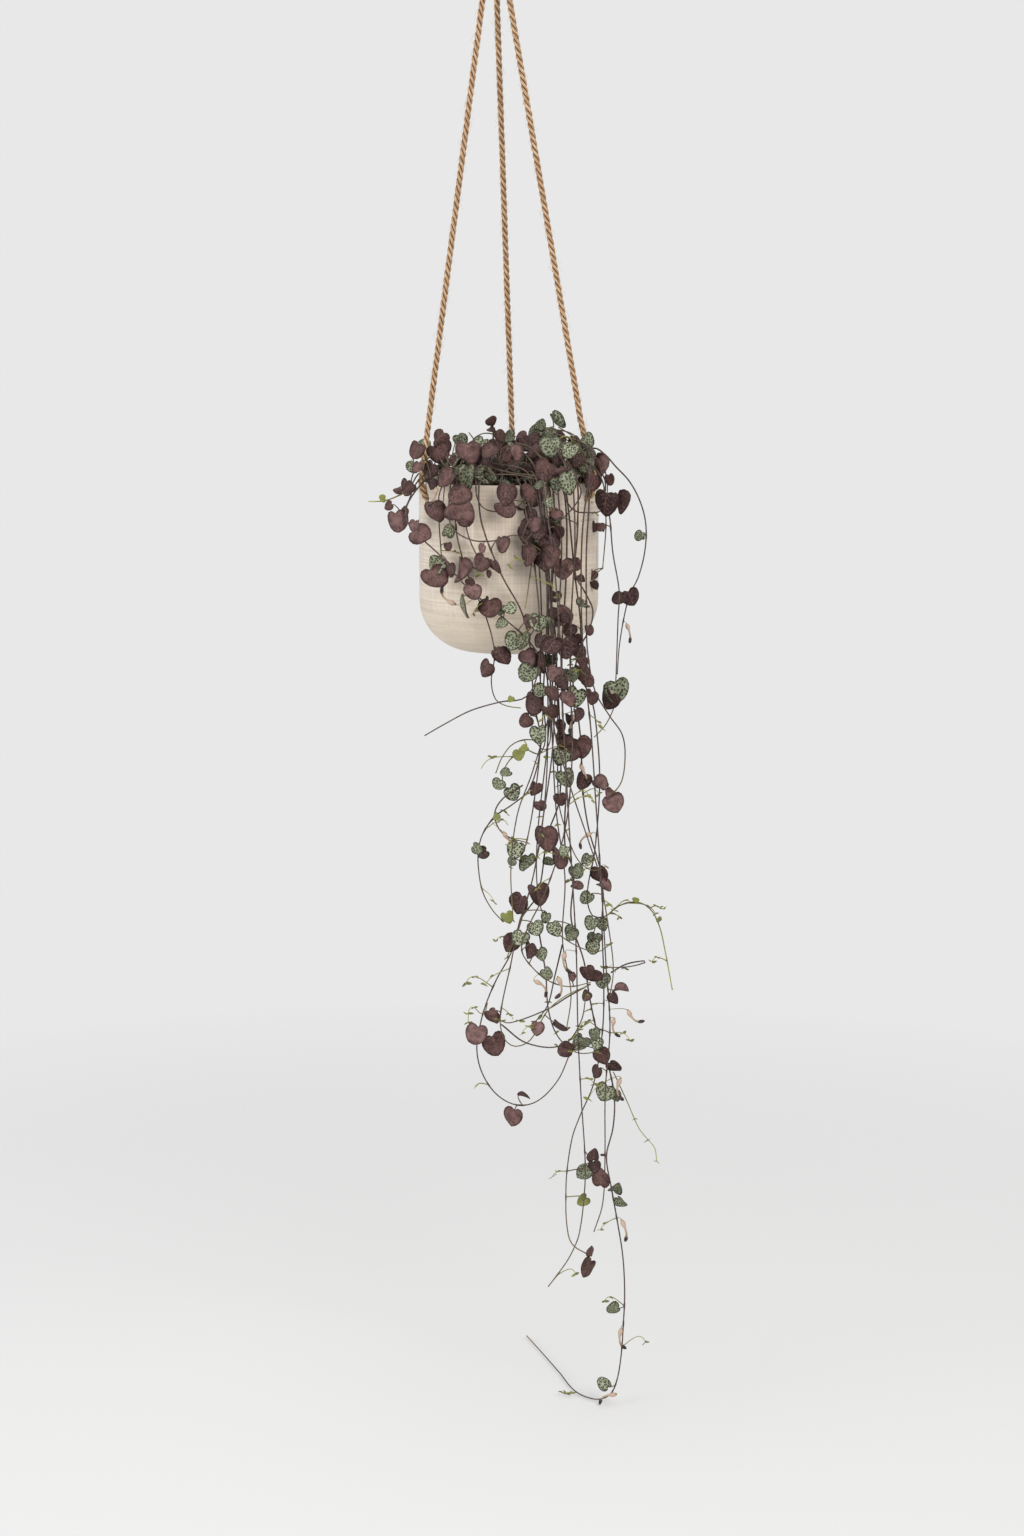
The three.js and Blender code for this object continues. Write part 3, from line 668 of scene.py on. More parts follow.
leafUnder, flat, across, along, blushAndShade, youth = leafFinish("leafUnderside", 0.58)
veins = veinLines(leafUnder, across, along, 0.025)
wine = leafUnder.ramp(blushAndShade, [(0.0, "2C1D1A"), (0.3, "422B27"), (0.6, "583D39"), (0.85, "6F514E"), (1.0, "876966")])
wine = leafUnder.mix(leafUnder.spread(leafUnder.noise(flat, 3.2, 3), 0.38, 0.62, 0, 0.7), wine, "33201E")
# painted highlight: lighter patches over the underside stand in for the soft sheen of light on the leaves
wine = leafUnder.mix(leafUnder.spread(leafUnder.noise(flat, 9, 3), 0.5, 0.66, 0, 0.42), wine, "80625E")
wine = leafUnder.mix(leafUnder.sums("MULTIPLY", veins, 0.4), wine, "937472")
wine = leafUnder.mix(leafUnder.spread(leafUnder.attribute("border"), 0.5, 1, 0, 0.6), wine, "2A1917")
wine = leafUnder.mix(leafUnder.spread(youth, 0.3, 1), wine, "8A8A52")
leafUnder.colour(wine)
leafUnder.bump(leafUnder.sums("ADD", leafUnder.noise(flat, 26, 2), veins), 0.4, 0.0004)

leafEdge = Finish("leafEdge", 0.55, Specular_IOR_Level=0.4)
edgeAge = leafEdge.attribute("youth")
edgeColour = leafEdge.mix(leafEdge.noise(leafEdge.objectCoords(), 300, 2), "2E1C19", "54393A")
leafEdge.colour(leafEdge.mix(edgeAge, edgeColour, "8F8F52"))

petal = Finish("flowerTube", 0.5, Specular_IOR_Level=0.3)
length = petal.attribute("along")
petalMottle = petal.noise(petal.objectCoords(), 500, 2)
tube = petal.ramp(length, [(0.0, "8C8A4E"), (0.08, "C6AC9A"), (0.3, "BEA491"), (0.5, "AC967C"), (0.7, "857456"),
                           (0.75, "221919"), (1.0, "120E0E")])
petal.colour(petal.mix(petal.spread(petalMottle, 0.45, 0.7, 0, 0.35), tube, "A98B80"))
vineFinishes = [vineSkin, leafTop, leafUnder, leafEdge, petal]
stemSlot, topSlot, underSlot, edgeSlot, petalSlot = range(5)
plantLayers = ("youth", "blushAndShade", "along", "border")

# One heart-shaped leaf, a unit long, notch towards -Y, tip towards +Y and upper face towards +Z
leaf = {
    "sideAcross": (0.34, 0.47, 0.515, 0.48, 0.375, 0.22), "sideAlong": (0.035, 0.16, 0.34, 0.53, 0.72, 0.875),
    "middleAlong": (0.13, 0.30, 0.48, 0.65, 0.83, 1.0), "roundAcross": (0.02, 0.01, 0, 0.01, 0.045, 0.08),
    "lobe": 0.07, "thickness": 0.055, "shapes": 16,
}


def leafMesh(chance):
    # a grid drawn out to a heart, folded along its midrib, cupped and given its thickness
    bm = bmesh.new()
    uvLayer = bm.loops.layers.uv.new("leaf")
    layers = {name: bm.verts.layers.float.new(name) for name in plantLayers}
    bmesh.ops.create_grid(bm, x_segments=4, y_segments=5, size=1)
    broad, rounded = chance.uniform(0.86, 1.14), chance.random() ** 2 * 0.8
    fold, cup = chance.uniform(-0.05, 0.42), chance.uniform(-0.35, 0.5)
    curl, lean, uneven = chance.uniform(-0.3, 0.45), chance.uniform(-0.09, 0.09), chance.uniform(-0.05, 0.05)
    notch = chance.uniform(0.65, 1.25)
    for vert in bm.verts:
        side, row = abs(vert.co.x), round((vert.co.y + 1) * 2.5)
        sign = math.copysign(1, vert.co.x)
        across = (leaf["sideAcross"][row] + leaf["roundAcross"][row] * rounded) * side
        middle = leaf["middleAlong"][row] * (notch if row == 0 else 1) - (0.05 * rounded if row == 5 else 0)
        along = middle * (1 - side) + leaf["sideAlong"][row] * side
        bulge = 4 * side * (1 - side)
        if row == 0:
            along -= leaf["lobe"] * bulge * notch
        if row == 5:
            along += 0.012 * bulge
        height = fold * across - cup * across ** 2 * 2 - curl * (along - 0.5) ** 2
        height += 0.025 * math.sin(along * 8 + lean * 60) * side * sign
        along += uneven * side * sign
        vert.co = Vector((sign * across * broad + lean * along ** 2, along, height))
        vert[layers["border"]] = 1 if vert.is_boundary else 0
    grid = list(bm.faces)
    bmesh.ops.solidify(bm, geom=grid, thickness=leaf["thickness"])
    bmesh.ops.recalc_face_normals(bm, faces=bm.faces)
    bm.normal_update()
    for face in bm.faces:
        rise = face.normal.z
        face.material_index = topSlot if rise > 0.3 else underSlot if rise < -0.3 else edgeSlot
        face.smooth = True
        for loop in face.loops:
            loop[uvLayer].uv = (loop.vert.co.x + 0.5, loop.vert.co.y)
    return meshOf(bm)


leafShapes = [leafMesh(random.Random(f"leaf{i}")) for i in range(leaf["shapes"])]

# One flower, a unit long from its bulb at the origin to its dark tip
flower = {"sides": 8, "outline": [(0.00, 0.030), (0.04, 0.065), (0.11, 0.115), (0.19, 0.118), (0.27, 0.078), (0.36, 0.05),
                                  (0.56, 0.046), (0.70, 0.052), (0.77, 0.082), (0.86, 0.09), (0.95, 0.072), (1.00, 0.035)]}


def flowerMesh(chance):
    bm = bmesh.new()
    bm.loops.layers.uv.new("leaf")
    layers = {name: bm.verts.layers.float.new(name) for name in plantLayers}
    bow = chance.uniform(0.15, 0.5)
    spine = [Vector((bow * math.sin(math.pi * 0.8 * at), at, 0)) for at, _ in flower["outline"]]
    rings = [(point, turn, width) for (point, turn), (_, width) in zip(framesAlong(spine), flower["outline"])]

    def paint(vert, place, index):
        vert[layers["along"]] = flower["outline"][index][0]

    sweep(bm, rings, flower["sides"], petalSlot, paint)
    return meshOf(bm)


flowerShapes = [flowerMesh(random.Random(f"flower{i}")) for i in range(3)]

# How the vines grow. Places are in millimetres, from the middle of the pot's rim
growth = {
    "stemRadius": 0.00086, "tipRadius": 0.00056, "stalkRadius": 0.00056, "stemStep": 0.0045, "stemSides": 6,
    "nodeSwell": 1.45, "standOff": 0.003, "soil": -26.7,
}


def newPlantMesh():
    bm = bmesh.new()
    bm.loops.layers.uv.new("leaf")
    return bm, {key: bm.verts.layers.float.new(key) for key in plantLayers}


def setAttribute(mesh, name, value):
    mesh.attributes[name].data.foreach_set("value", [value] * len(mesh.vertices))


def addStem(bm, line, thick, thin, youthAt, nodes=()):
    # a stem with its joints a little swollen. youthAt gives its youth from 0 to 1 at each part of its length
    own, layers = newPlantMesh()
    frames = framesAlong(line)
    rings, ages = [], []
    for i, (point, turn) in enumerate(frames):
        part = i / (len(frames) - 1)
        radius = thick + (thin - thick) * part
        rings.append((point, turn, radius * (growth["nodeSwell"] if i in nodes else 1)))
        ages.append(youthAt(part))

    def paint(vert, place, index):
        vert[layers["youth"]] = ages[index]

    sweep(own, rings, growth["stemSides"] if thick > 0.0005 else 4, stemSlot, paint)
    if own.calc_volume(signed=True) < 0:
        bmesh.ops.reverse_faces(own, faces=own.faces)
    pour(bm, meshOf(own))


def nearestOn(line, x, z, skip):
    # the index of the stem's point that looks nearest, past the stretch inside the pot
    return min(range(skip, len(line)), key=lambda i: (line[i].x - x) ** 2 + (line[i].z - z) ** 2)


def placeLeaf(bm, line, index, spot, size, tip, look, turn, chance):
    # spot is the leaf's middle, tip is its tip's angle from straight down towards +X
    angle = math.radians(tip)
    towardsTip = Vector((math.sin(angle), 0, -math.cos(angle)))
    outward = 1 if line[index].y > rim.y + 0.02 else -1
    facing = Vector((0, outward if look in ("green", "young") else -outward, 0))
    basis = Matrix((towardsTip.cross(facing), towardsTip, facing)).transposed().to_4x4()
    sway = Matrix.Rotation(math.radians(turn), 4, "Y") @ Matrix.Rotation(chance.gauss(0, 0.28), 4, "X")
    place = (Matrix.Translation(spot) @ basis @ sway @ Matrix.Scale(size, 4) @ Matrix.Translation((0, -0.5, 0)))
    shape = chance.choice(leafShapes).copy()
    shape.transform(place)
    youth = chance.uniform(0.75, 1) if look == "young" else chance.uniform(0, 0.18)
    # painted shade: leaves above the rim get a higher blush, which darkens their upper faces as if shaded inside the
    # crown
    shade = 0.25 if spot.z > rim.z else 0
    blushAndShade = {"purple": chance.uniform(0.3, 1), "brown": chance.uniform(0, 0.2)}.get(look, chance.uniform(0.1, 0.75) + shade)
    setAttribute(shape, "youth", youth)
    setAttribute(shape, "blushAndShade", blushAndShade)
    pour(bm, shape)
    notch = place @ Vector((0, 0.17, -0.02))
    reach = (notch - line[index]).length
    arriving = place.to_3x3() @ Vector((0, -1, -0.5))
    bend = interpolate_bezier(line[index], line[index] + Vector((0, outward * reach * 0.35, reach * 0.12)),
                              notch + arriving.normalized() * reach * 0.3, notch, 5)
    addStem(bm, bend, growth["stalkRadius"], growth["stalkRadius"] * 0.85, lambda part: 0.12 + youth * 0.6)


def placeFlower(bm, line, index, spot, size, tip, chance):
    angle = math.radians(tip)
    towardsTip = Vector((math.sin(angle), 0, -math.cos(angle)))
    outward = Vector((0, 1 if line[index].y > rim.y + 0.02 else -1, 0))
    basis = Matrix((towardsTip.cross(outward), towardsTip, outward)).transposed().to_4x4()
    roll = Matrix.Rotation(chance.uniform(0, 6.3), 4, "Y")
    shape = chance.choice(flowerShapes).copy()
    shape.transform(Matrix.Translation(spot) @ basis @ roll @ Matrix.Scale(size, 4))
    pour(bm, shape)
    reach = (spot - line[index]).length
    bend = interpolate_bezier(line[index], line[index] + outward * reach * 0.3,
                              spot - towardsTip * reach * 0.4, spot, 5)
    addStem(bm, bend, 0.0003, 0.0003, lambda part: 0.6)


def addShoot(bm, line, index, reach, chance):
    # a thin young side shoot, which arcs away and carries a pair of tiny leaves
    start = line[index]
    side = chance.choice((-1, 1))
    out = Vector((side * chance.uniform(0.5, 1), chance.uniform(-0.7, 0.25), chance.uniform(-0.5, 0.7))).normalized()
    droop = Vector((side * 0.4, chance.uniform(-0.3, 0.3), -1)).normalized()
    bend = interpolate_bezier(start, start + out * reach * 0.5, start + out * reach - droop * reach * 0.1,
                              start + out * reach + droop * reach * 0.45, 8)
    addStem(bm, bend, 0.0005, 0.00034, lambda part: 0.6 + 0.4 * part)
    for spotIndex in (7, 4):
        if chance.random() < 0.7:
            addBud(bm, bend[spotIndex], chance)


def addBud(bm, start, chance):
    # a pair of leaves just opening at a joint
    for side in (-1, 1):
        out = Vector((side * chance.uniform(0.4, 1), chance.uniform(-0.8, 0.4), chance.uniform(-0.7, 0.7))).normalized()
        size = chance.uniform(0.0028, 0.0058)
        turn = out.to_track_quat("Y", "Z") @ Quaternion((0, 1, 0), chance.uniform(-1.5, 1.5))
        shape = chance.choice(leafShapes).copy()
        shape.transform(Matrix.LocRotScale(start, turn, Vector((size * 0.5, size, size))))
        setAttribute(shape, "youth", chance.uniform(0.6, 1))
        setAttribute(shape, "blushAndShade", chance.uniform(0, 1))
        pour(bm, shape)


def addVine(bm, vine, chance):
    # one stem with everything on it
    first = vine["route"][0]
    points = [rim + Vector(point) * mm for point in [(first[0], first[1], growth["soil"]), *vine["route"]]]
    line = smoothLine(points, growth["stemStep"])
    skip = min(4, len(line) // 3)
    outside = next((i for i, point in enumerate(line) if Vector((point - rim).xy).length > 0.083), skip)
    nodes = set()
    for look in ("purple", "green", "brown", "young"):
        for x, z, size, tip, turn in vine.get(look, []):
            index = nearestOn(line, rim.x + x * mm, rim.z + z * mm, outside if z < 3 else skip)
            nodes.add(index)
            outward = 1 if line[index].y > rim.y + 0.02 else -1
            depth = line[index].y + outward * (growth["standOff"] + chance.uniform(0, 0.006))
            spot = Vector((rim.x + x * mm, depth, rim.z + z * mm))
            placeLeaf(bm, line, index, spot, size * mm, tip, look, turn, chance)
    for x, z, tip in vine.get("flowers", []):
        index = nearestOn(line, rim.x + x * mm, rim.z + z * mm, skip)
        outward = 1 if line[index].y > rim.y + 0.02 else -1
        spot = Vector((rim.x + x * mm, line[index].y + outward * 0.005, rim.z + z * mm))
        placeFlower(bm, line, index, spot, chance.uniform(0.0175, 0.0215), tip, chance)
        nodes.add(index)
    for branch in vine.get("branches", []):
        bend = smoothLine([rim + Vector(point) * mm for point in branch], growth["stemStep"] * 0.8)
        addStem(bm, bend, 0.00056, 0.0004, lambda part: 0.35 + 0.65 * part)
        for index in (len(bend) // 2, len(bend) * 3 // 4, len(bend) - 1):
            addBud(bm, bend[index], chance)
    for _ in range(vine.get("shoots", 0)):
        index = chance.randrange(len(line) * 2 // 5, len(line) - 1)
        addShoot(bm, line, index, chance.uniform(0.010, 0.026), chance)
        nodes.add(index)
    tender = vine.get("tender", 0.12)
    addStem(bm, line, growth["stemRadius"], growth["tipRadius"],
            lambda part: max(0.0, (part - 1 + tender) / tender) * vine.get("green tip", 0.7), nodes)


def growVine(name, vine):
    bm, _ = newPlantMesh()
    addVine(bm, vine, random.Random(name))
    return finishPiece(name + "_grown", bm, vineFinishes, [name])
vines = {
    "vine_left_sprig": {
        "route": [(-46, -26, -14), (-60, -36, 4), (-76, -48, 9), (-86, -53, 0), (-93, -55, -16), (-101, -57, -31)],
        "purple": [(-92, -3, 12, -40, 30), (-103, -34, 22, 10, 10), (-98, -26, 13, -30, 50),
        (-111, -20, 9, -60, 20)],
        "shoots": 1,
    },
    "vine_left_tendril": {
        "route": [(-52, -10, -10), (-66, -18, 8), (-82, -22, 10), (-94, -26, -6), (-108, -30, -14),
        (-120, -32, -17), (-131, -33, -17)],
        "purple": [(-104, -6, 9, -70, 40)],
        "young": [(-118, -14, 7, -100, 20)],
        "shoots": 1, "tender": 0.5, "green tip": 1,
    },
    "vine_left_diagonal": {
        "route": [(-34, -42, -12), (-52, -54, 6), (-70, -62, 8), (-86, -66, -6), (-95, -68, -24), (-90, -73, -39),
        (-76, -81, -52), (-60, -91, -66), (-46, -93, -84), (-30, -96, -99), (-8, -101, -117), (18, -106, -140),
        (33, -109, -165), (38, -110, -214), (34, -110, -240), (22, -110, -231), (5, -110, -234), (-6, -110, -247),
        (-12, -110, -262)],
        "purple": [(-80, -44, 21, 60, -20), (-86, -37, 12, -10, 40), (-33, -96, 16, 10, 10),
        (-18, -110, 22, 10, 20), (19, -122, 13, -30, 30), (38, -205, 16, 20, 30)],
        "green": [(-41, -109, 24, 8, 80), (-8, -112, 11, -20, 20), (1, -110, 13, 30, -15),
        (-7, -124, 12, -40, 30), (5, -140, 19, -20, 25), (13, -140, 16, 20, -30), (27, -123, 17, -10, -10),
        (37, -123, 11, 60, 20)],
        "young": [(14, -238, 8, -60, 0)],
        "shoots": 2, "green tip": 0.4,
    },
    "vine_front_short_left": {
        "route": [(-28, -50, -12), (-46, -66, 7), (-57, -74, 5), (-64, -77, -10), (-64, -76, -34), (-62, -76, -64)],
        "purple": [(-67, -24, 22, 15, 15), (-55, -56, 9, 10, 30), (-67, -84, 23, 30, -15), (-54, -77, 15, 0, 35)],
        "green": [(-66, -72, 19, -140, 10)],
        "shoots": 1,
    },
    "vine_front_swag": {
        "route": [(-22, -55, -12), (-42, -72, 7), (-50, -78, 2), (-49, -79, -20), (-48, -79, -43),
        (-43, -83, -64), (-35, -87, -88), (-21, -93, -119), (-13, -97, -152), (-16, -98, -178), (-12, -98, -195),
        (-2, -98, -201), (11, -98, -203)],
        "purple": [(-44, -77, 25, -10, 62), (-34, -88, 11, 30, 40), (-6, -155, 19, 30, 10),
        (-21, -166, 17, -40, 20), (-10, -150, 9, 20, 50)],
        "green": [(-54, -41, 14, 150, 30)],
        "flowers": [(-48, -108, -156), (-31, -114, 150)],
        "shoots": 1,
    },
    "vine_front_short": {
        "route": [(-15, -58, -12), (-32, -76, 7), (-38, -83, 0), (-39, -85, -36), (-33, -86, -56), (-25, -88, -70)],
        "purple": [(-25, -70, 16, -30, 5), (-18, -80, 8, 20, 50)],
    },
    "vine_front_slanting": {
        "route": [(-7, -60, -12), (-22, -81, 7), (-27, -89, 0), (-26, -90, -27), (-21, -92, -46), (-13, -94, -66),
        (-5, -95, -84), (12, -98, -115), (20, -100, -149), (23, -101, -199), (29, -102, -228), (25, -103, -277),
        (17, -104, -325), (10, -104, -345)],
        "purple": [(-12, -73, 15, 10, 50), (-7, -53, 17, 20, 45), (24, -199, 22, -15, 35),
        (15, -213, 14, -40, 30), (24, -277, 14, -20, 30), (30, -292, 12, 30, 20)],
        "green": [(18, -170, 19, -30, 20), (28, -226, 18, 10, 10), (5, -333, 18, -20, 25), (16, -346, 19, 10, 35),
        (2, -345, 10, -50, 30)],
        "shoots": 2,
    },
    "vine_front_garland": {
        "route": [(-36, -32, -8), (-44, -58, 9), (-51, -84, 7), (-54, -97, -10), (-52, -99, -36),
        (-35, -102, -48), (-14, -105, -49), (8, -108, -44), (20, -109, -58), (18, -110, -90), (15, -110, -110)],
        "purple": [(-24, -56, 9, -30, 40), (23, -34, 15, 20, 40), (18, -62, 21, 15, 52)],
        "brown": [(32, -66, 21, 12, 45), (27, -40, 17, -20, 10)],
        "shoots": 1,
    },
    "vine_long_shoot": {
        "route": [(-2, -48, -8), (4, -76, 9), (9, -92, 5), (13, -98, -10), (22, -105, -60), (28, -113, -120),
        (27, -116, -165), (16, -117, -190), (-8, -117, -195), (-35, -117, -203), (-58, -117, -215),
        (-77, -117, -226)],
        "purple": [(-2, -20, 20, 40, 15)],
        "young": [(2, -192, 7, -30, 20)],
        "shoots": 1, "green tip": 0.15,
    },
    "vine_bunch_left": {
        "route": [(4, -62, -8), (12, -84, 7), (17, -94, -2), (20, -97, -31), (27, -98, -66), (30, -98, -121),
        (29, -98, -177), (34, -99, -228), (28, -99, -246), (18, -99, -242), (4, -99, -248), (-5, -99, -262),
        (-6, -99, -278)],
        "purple": [(22, -9, 22, 0, -10), (33, -68, 20, 10, 60), (28, -160, 22, 35, 45), (18, -156, 20, 35, 20)],
        "green": [(31, -57, 22, 45, 70), (-9, -273, 13, -30, 20), (4, -282, 16, 30, 10), (-3, -262, 11, -60, 40)],
        "brown": [(20, -26, 15, -20, 30), (19, -37, 18, -30, -20), (17, -46, 20, -10, 25), (25, -58, 22, 10, 50),
        (30, -44, 18, 10, -30), (37, -38, 18, 20, 20)],
        "young": [(10, -245, 12, 20, 20)],
        "shoots": 2, "tender": 0.3,
    },
    "vine_outer_loop": {
        "route": [(8, -46, -8), (18, -74, 12), (24, -93, 9), (28, -102, -8), (33, -105, -50), (35, -107, -110),
        (32, -107, -180), (29, -107, -240), (19, -107, -277), (4, -107, -291), (-13, -107, -303),
        (-24, -107, -319), (-28, -107, -334), (-28, -107, -352), (-24, -107, -374), (-15, -107, -391),
        (-5, -107, -402)],
        "purple": [(43, -24, 12, -20, 20)],
        "green": [(37, -14, 11, 10, 20), (30, -186, 15, -30, 30), (-29, -332, 12, 60, 20)],
        "brown": [(41, -50, 17, 20, -20), (35, -55, 17, -10, 30), (45, -40, 14, 20, 30), (-24, -336, 12, -60, 30)],
        "young": [(-1, -397, 13, 20, 0), (-12, -302, 8, -40, 30)],
        "flowers": [(-5, -316, 60)],
        "shoots": 4, "green tip": 0.5,
    },
    "vine_big_loop": {
        "route": [(14, -56, -8), (30, -79, 8), (36, -88, 2), (40, -94, -30), (41, -95, -66), (38, -96, -124),
        (43, -96, -157), (47, -96, -222), (47, -96, -288), (36, -98, -322), (27, -99, -377), (12, -100, -400),
        (2, -101, -433), (-11, -102, -457), (-20, -102, -478), (-26, -102, -498), (-30, -102, -524),
        (-25, -102, -548), (-11, -102, -569), (8, -102, -579), (27, -102, -575), (46, -102, -555),
        (57, -102, -530)],
        "purple": [(46, -121, 16, 0, 20), (46, -222, 18, 20, 60), (50, -233, 17, -20, 20), (48, -288, 13, 10, 30),
        (34, -324, 26, 10, 25), (27, -377, 23, 10, 15), (11, -385, 22, -20, 30), (3, -423, 19, -30, 20),
        (-30, -509, 21, -10, 10), (-13, -519, 23, 20, -10), (-14, -492, 15, 30, 30), (4, -588, 18, -10, 15),
        (14, -568, 13, 70, 65)],
        "green": [(38, -159, 14, -10, 30), (38, -345, 12, 40, 40)],
        "brown": [(43, -100, 12, 0, 10)],
        "branches": [[(-20, -103, -480), (-24, -106, -490), (-35, -108, -483), (-38, -108, -498)]],
        "shoots": 3, "green tip": 0.2,
    },
    "vine_inner_loop": {
        "route": [(26, -32, -6), (38, -66, 18), (43, -90, 10), (45, -99, -8), (48, -106, -50), (46, -111, -110),
        (43, -113, -170), (40, -114, -240), (32, -114, -300), (22, -114, -360), (8, -114, -408), (2, -114, -440),
        (-6, -114, -477), (-8, -114, -496), (-4, -114, -512), (6, -114, -519), (20, -114, -513), (36, -114, -485),
        (54, -114, -470), (74, -114, -461)],
        "purple": [(56, -72, 8, -20, 20), (42, -169, 17, -20, 20), (-15, -486, 9, -40, 45), (26, -500, 15, 0, 20),
        (48, -497, 16, 70, 60)],
        "green": [(11, -415, 16, -20, 20), (25, -405, 15, 30, 10), (34, -396, 12, -20, 40)],
        "brown": [(29, -139, 14, -20, 30)],
        "shoots": 4, "tender": 0.25,
    },
    "vine_longest": {
        "route": [(18, -42, 0), (36, -66, 16), (47, -84, 10), (51, -92, -8), (53, -98, -40), (52, -100, -90),
        (49, -101, -141), (49, -102, -195), (53, -103, -266), (52, -104, -330), (60, -104, -356),
        (58, -105, -400), (70, -105, -440), (75, -105, -472), (82, -105, -505), (92, -105, -535),
        (99, -105, -570), (98, -105, -600), (92, -105, -628), (97, -105, -660), (102, -105, -688),
        (108, -105, -726), (110, -105, -762), (109, -105, -793), (107, -105, -825), (103, -105, -850),
        (96, -104, -865), (83, -100, -870.5), (65, -82, -870.5), (50, -34, -870.5), (33, 20, -870.5),
        (18, 66, -870.5)],
        "purple": [(49, -74, 21, 0, 10), (62, -70, 13, 30, 40), (49, -116, 22, 30, 30), (48, -341, 22, -10, 45),
        (64, -366, 12, 60, 30), (73, -449, 15, 20, 25), (81, -452, 14, 50, 20), (72, -472, 11, -30, 40),
        (88, -529, 18, 20, 10)],
        "green": [(57, -171, 15, 20, 20), (48, -247, 20, -20, 15), (53, -267, 19, 20, -10),
        (62, -354, 15, 30, 20), (57, -412, 15, -20, 25), (81, -517, 14, -10, 25), (90, -564, 18, -20, 15),
        (100, -568, 12, 30, 30), (101, -658, 15, 160, 15), (106, -670, 13, 60, 35), (99, -776, 14, -85, 65),
        (91, -850, 15, -155, 50)],
        "brown": [(99, -540, 15, 50, 30)],
        "flowers": [(63, -207, -10), (105, -550, 20), (106, -688, 3), (107, -795, 25), (103, -862, -45)],
        "branches": [
        [(98, -105, -546), (111, -108, -574), (122, -110, -599), (129, -111, -608), (137, -111, -618), (139, -111, -631)],
        [(66, -84, -870), (58, -90, -868), (52, -88, -869)]],
        "shoots": 5, "tender": 0.1, "green tip": 0.5,
    },
    "vine_right_bunch": {
        "route": [(24, -50, -4), (42, -72, 12), (50, -81, 4), (55, -84, -25), (60, -85, -76), (66, -86, -124),
        (66, -87, -149), (59, -88, -175), (62, -89, -196), (67, -90, -239), (68, -90, -275), (74, -90, -316),
        (85, -90, -355), (88, -90, -380), (87, -91, -406), (89, -92, -461), (88, -93, -510), (80, -94, -560),
        (67, -95, -592), (60, -96, -612), (55, -97, -645), (54, -98, -670), (55, -99, -697), (60, -99, -716),
        (76, -99, -727)],
        "purple": [(67, -84, 9, 40, 30), (62, -140, 13, 0, 20), (64, -153, 15, 30, 30), (67, -240, 22, 20, 20),
        (58, -246, 16, -30, 30), (68, -271, 17, -20, 20), (86, -358, 19, 20, 25), (89, -370, 15, 50, 30),
        (52, -525, 15, -60, 30), (78, -722, 12, 175, 50), (75, -738, 20, -12, 68)],
        "green": [(62, -193, 20, -10, 10), (72, -382, 14, -40, 30), (87, -406, 15, 20, 20),
        (80, -420, 14, -10, 30), (88, -461, 15, 10, 15), (65, -520, 17, -40, 25), (71, -645, 17, -50, 25)],
        "brown": [(55, -131, 14, -20, 30), (57, -214, 12, 0, 40)],
        "young": [(70, -672, 13, -50, 10)],
        "flowers": [(66, -256, 20)],
        "shoots": 4, "tender": 0.2, "green tip": 0.4,
    },
    "vine_arching": {
        "route": [(32, -42, 0), (52, -65, 16), (62, -75, 8), (63, -84, -40), (61, -93, -80), (70, -96, -97),
        (77, -97, -113), (74, -98, -130), (66, -98, -146), (62, -98, -166), (75, -98, -192), (80, -98, -215),
        (84, -98, -270), (80, -98, -335), (73, -98, -378), (78, -98, -398), (89, -98, -399), (102, -98, -389),
        (118, -98, -385), (131, -98, -391), (140, -98, -407), (146, -98, -432), (153, -98, -469)],
        "purple": [(68, -170, 17, 20, 30), (73, -177, 14, 50, 20), (76, -192, 15, -20, 45), (85, -272, 15, 60, 35)],
        "green": [(43, -36, 20, 10, 30), (72, -344, 12, -30, 30), (78, -426, 16, 20, 15)],
        "young": [(118, -381, 6, 120, 10), (140, -400, 7, 60, 10)],
        "flowers": [(77, -319, -20)],
        "branches": [[(89, -98, -399), (96, -101, -395), (103, -102, -398)],
        [(131, -98, -391), (137, -100, -388), (143, -101, -391)]],
        "shoots": 4, "tender": 0.22, "green tip": 1,
    },
    "vine_right_return": {
        "route": [(38, -24, 0), (60, -50, 22), (71, -66, 16), (74, -78, 0), (71, -92, -60), (71, -103, -115),
        (72, -106, -149), (79, -106, -186), (93, -106, -210), (104, -106, -226), (107, -106, -245),
        (104, -106, -270), (95, -106, -283)],
        "purple": [(74, -130, 11, 20, 40), (97, -290, 19, 20, 10), (84, -271, 16, 60, 30), (92, -280, 10, -30, 40)],
        "green": [(68, -105, 14, 60, 62)],
        "shoots": 1,
    },
    "vine_crossing": {
        "route": [(26, -18, 2), (44, -58, 24), (54, -88, 18), (58, -102, 4), (60, -112, -50), (57, -120, -110),
        (56, -122, -170), (58, -122, -240), (52, -122, -310), (34, -122, -370), (16, -122, -408),
        (12, -122, -426), (22, -122, -442), (38, -122, -455), (56, -122, -460), (76, -122, -456)],
        "purple": [(66, -158, 13, 20, 30), (40, -186, 15, 20, 30), (20, -425, 17, -10, 55), (58, -450, 10, 20, 40)],
        "green": [(29, -428, 14, 20, 20), (35, -447, 13, 30, 15)],
        "brown": [(52, -117, 12, 30, 20), (51, -144, 22, 10, 15), (62, -206, 14, 20, 40)],
        "flowers": [(23, -453, 20), (45, -449, -20)],
        "shoots": 4, "tender": 0.2, "green tip": 0.5,
    },
    "vine_lower_left": {
        "route": [(10, -30, 6), (24, -64, 20), (30, -96, 12), (32, -112, -6), (40, -120, -60), (46, -128, -130),
        (50, -130, -220), (56, -130, -320), (62, -130, -420), (64, -130, -500), (67, -130, -560),
        (71, -130, -620), (71, -130, -650), (66, -130, -695), (58, -130, -716), (48, -130, -732), (37, -130, -747)],
        "purple": [(38, -62, 22, -10, 40), (54, -190, 16, 10, 30), (56, -512, 10, 30, 30)],
        "green": [(50, -330, 12, -30, 35), (43, -402, 17, 20, 25), (57, -408, 12, -20, 40),
        (70, -510, 13, -10, 20)],
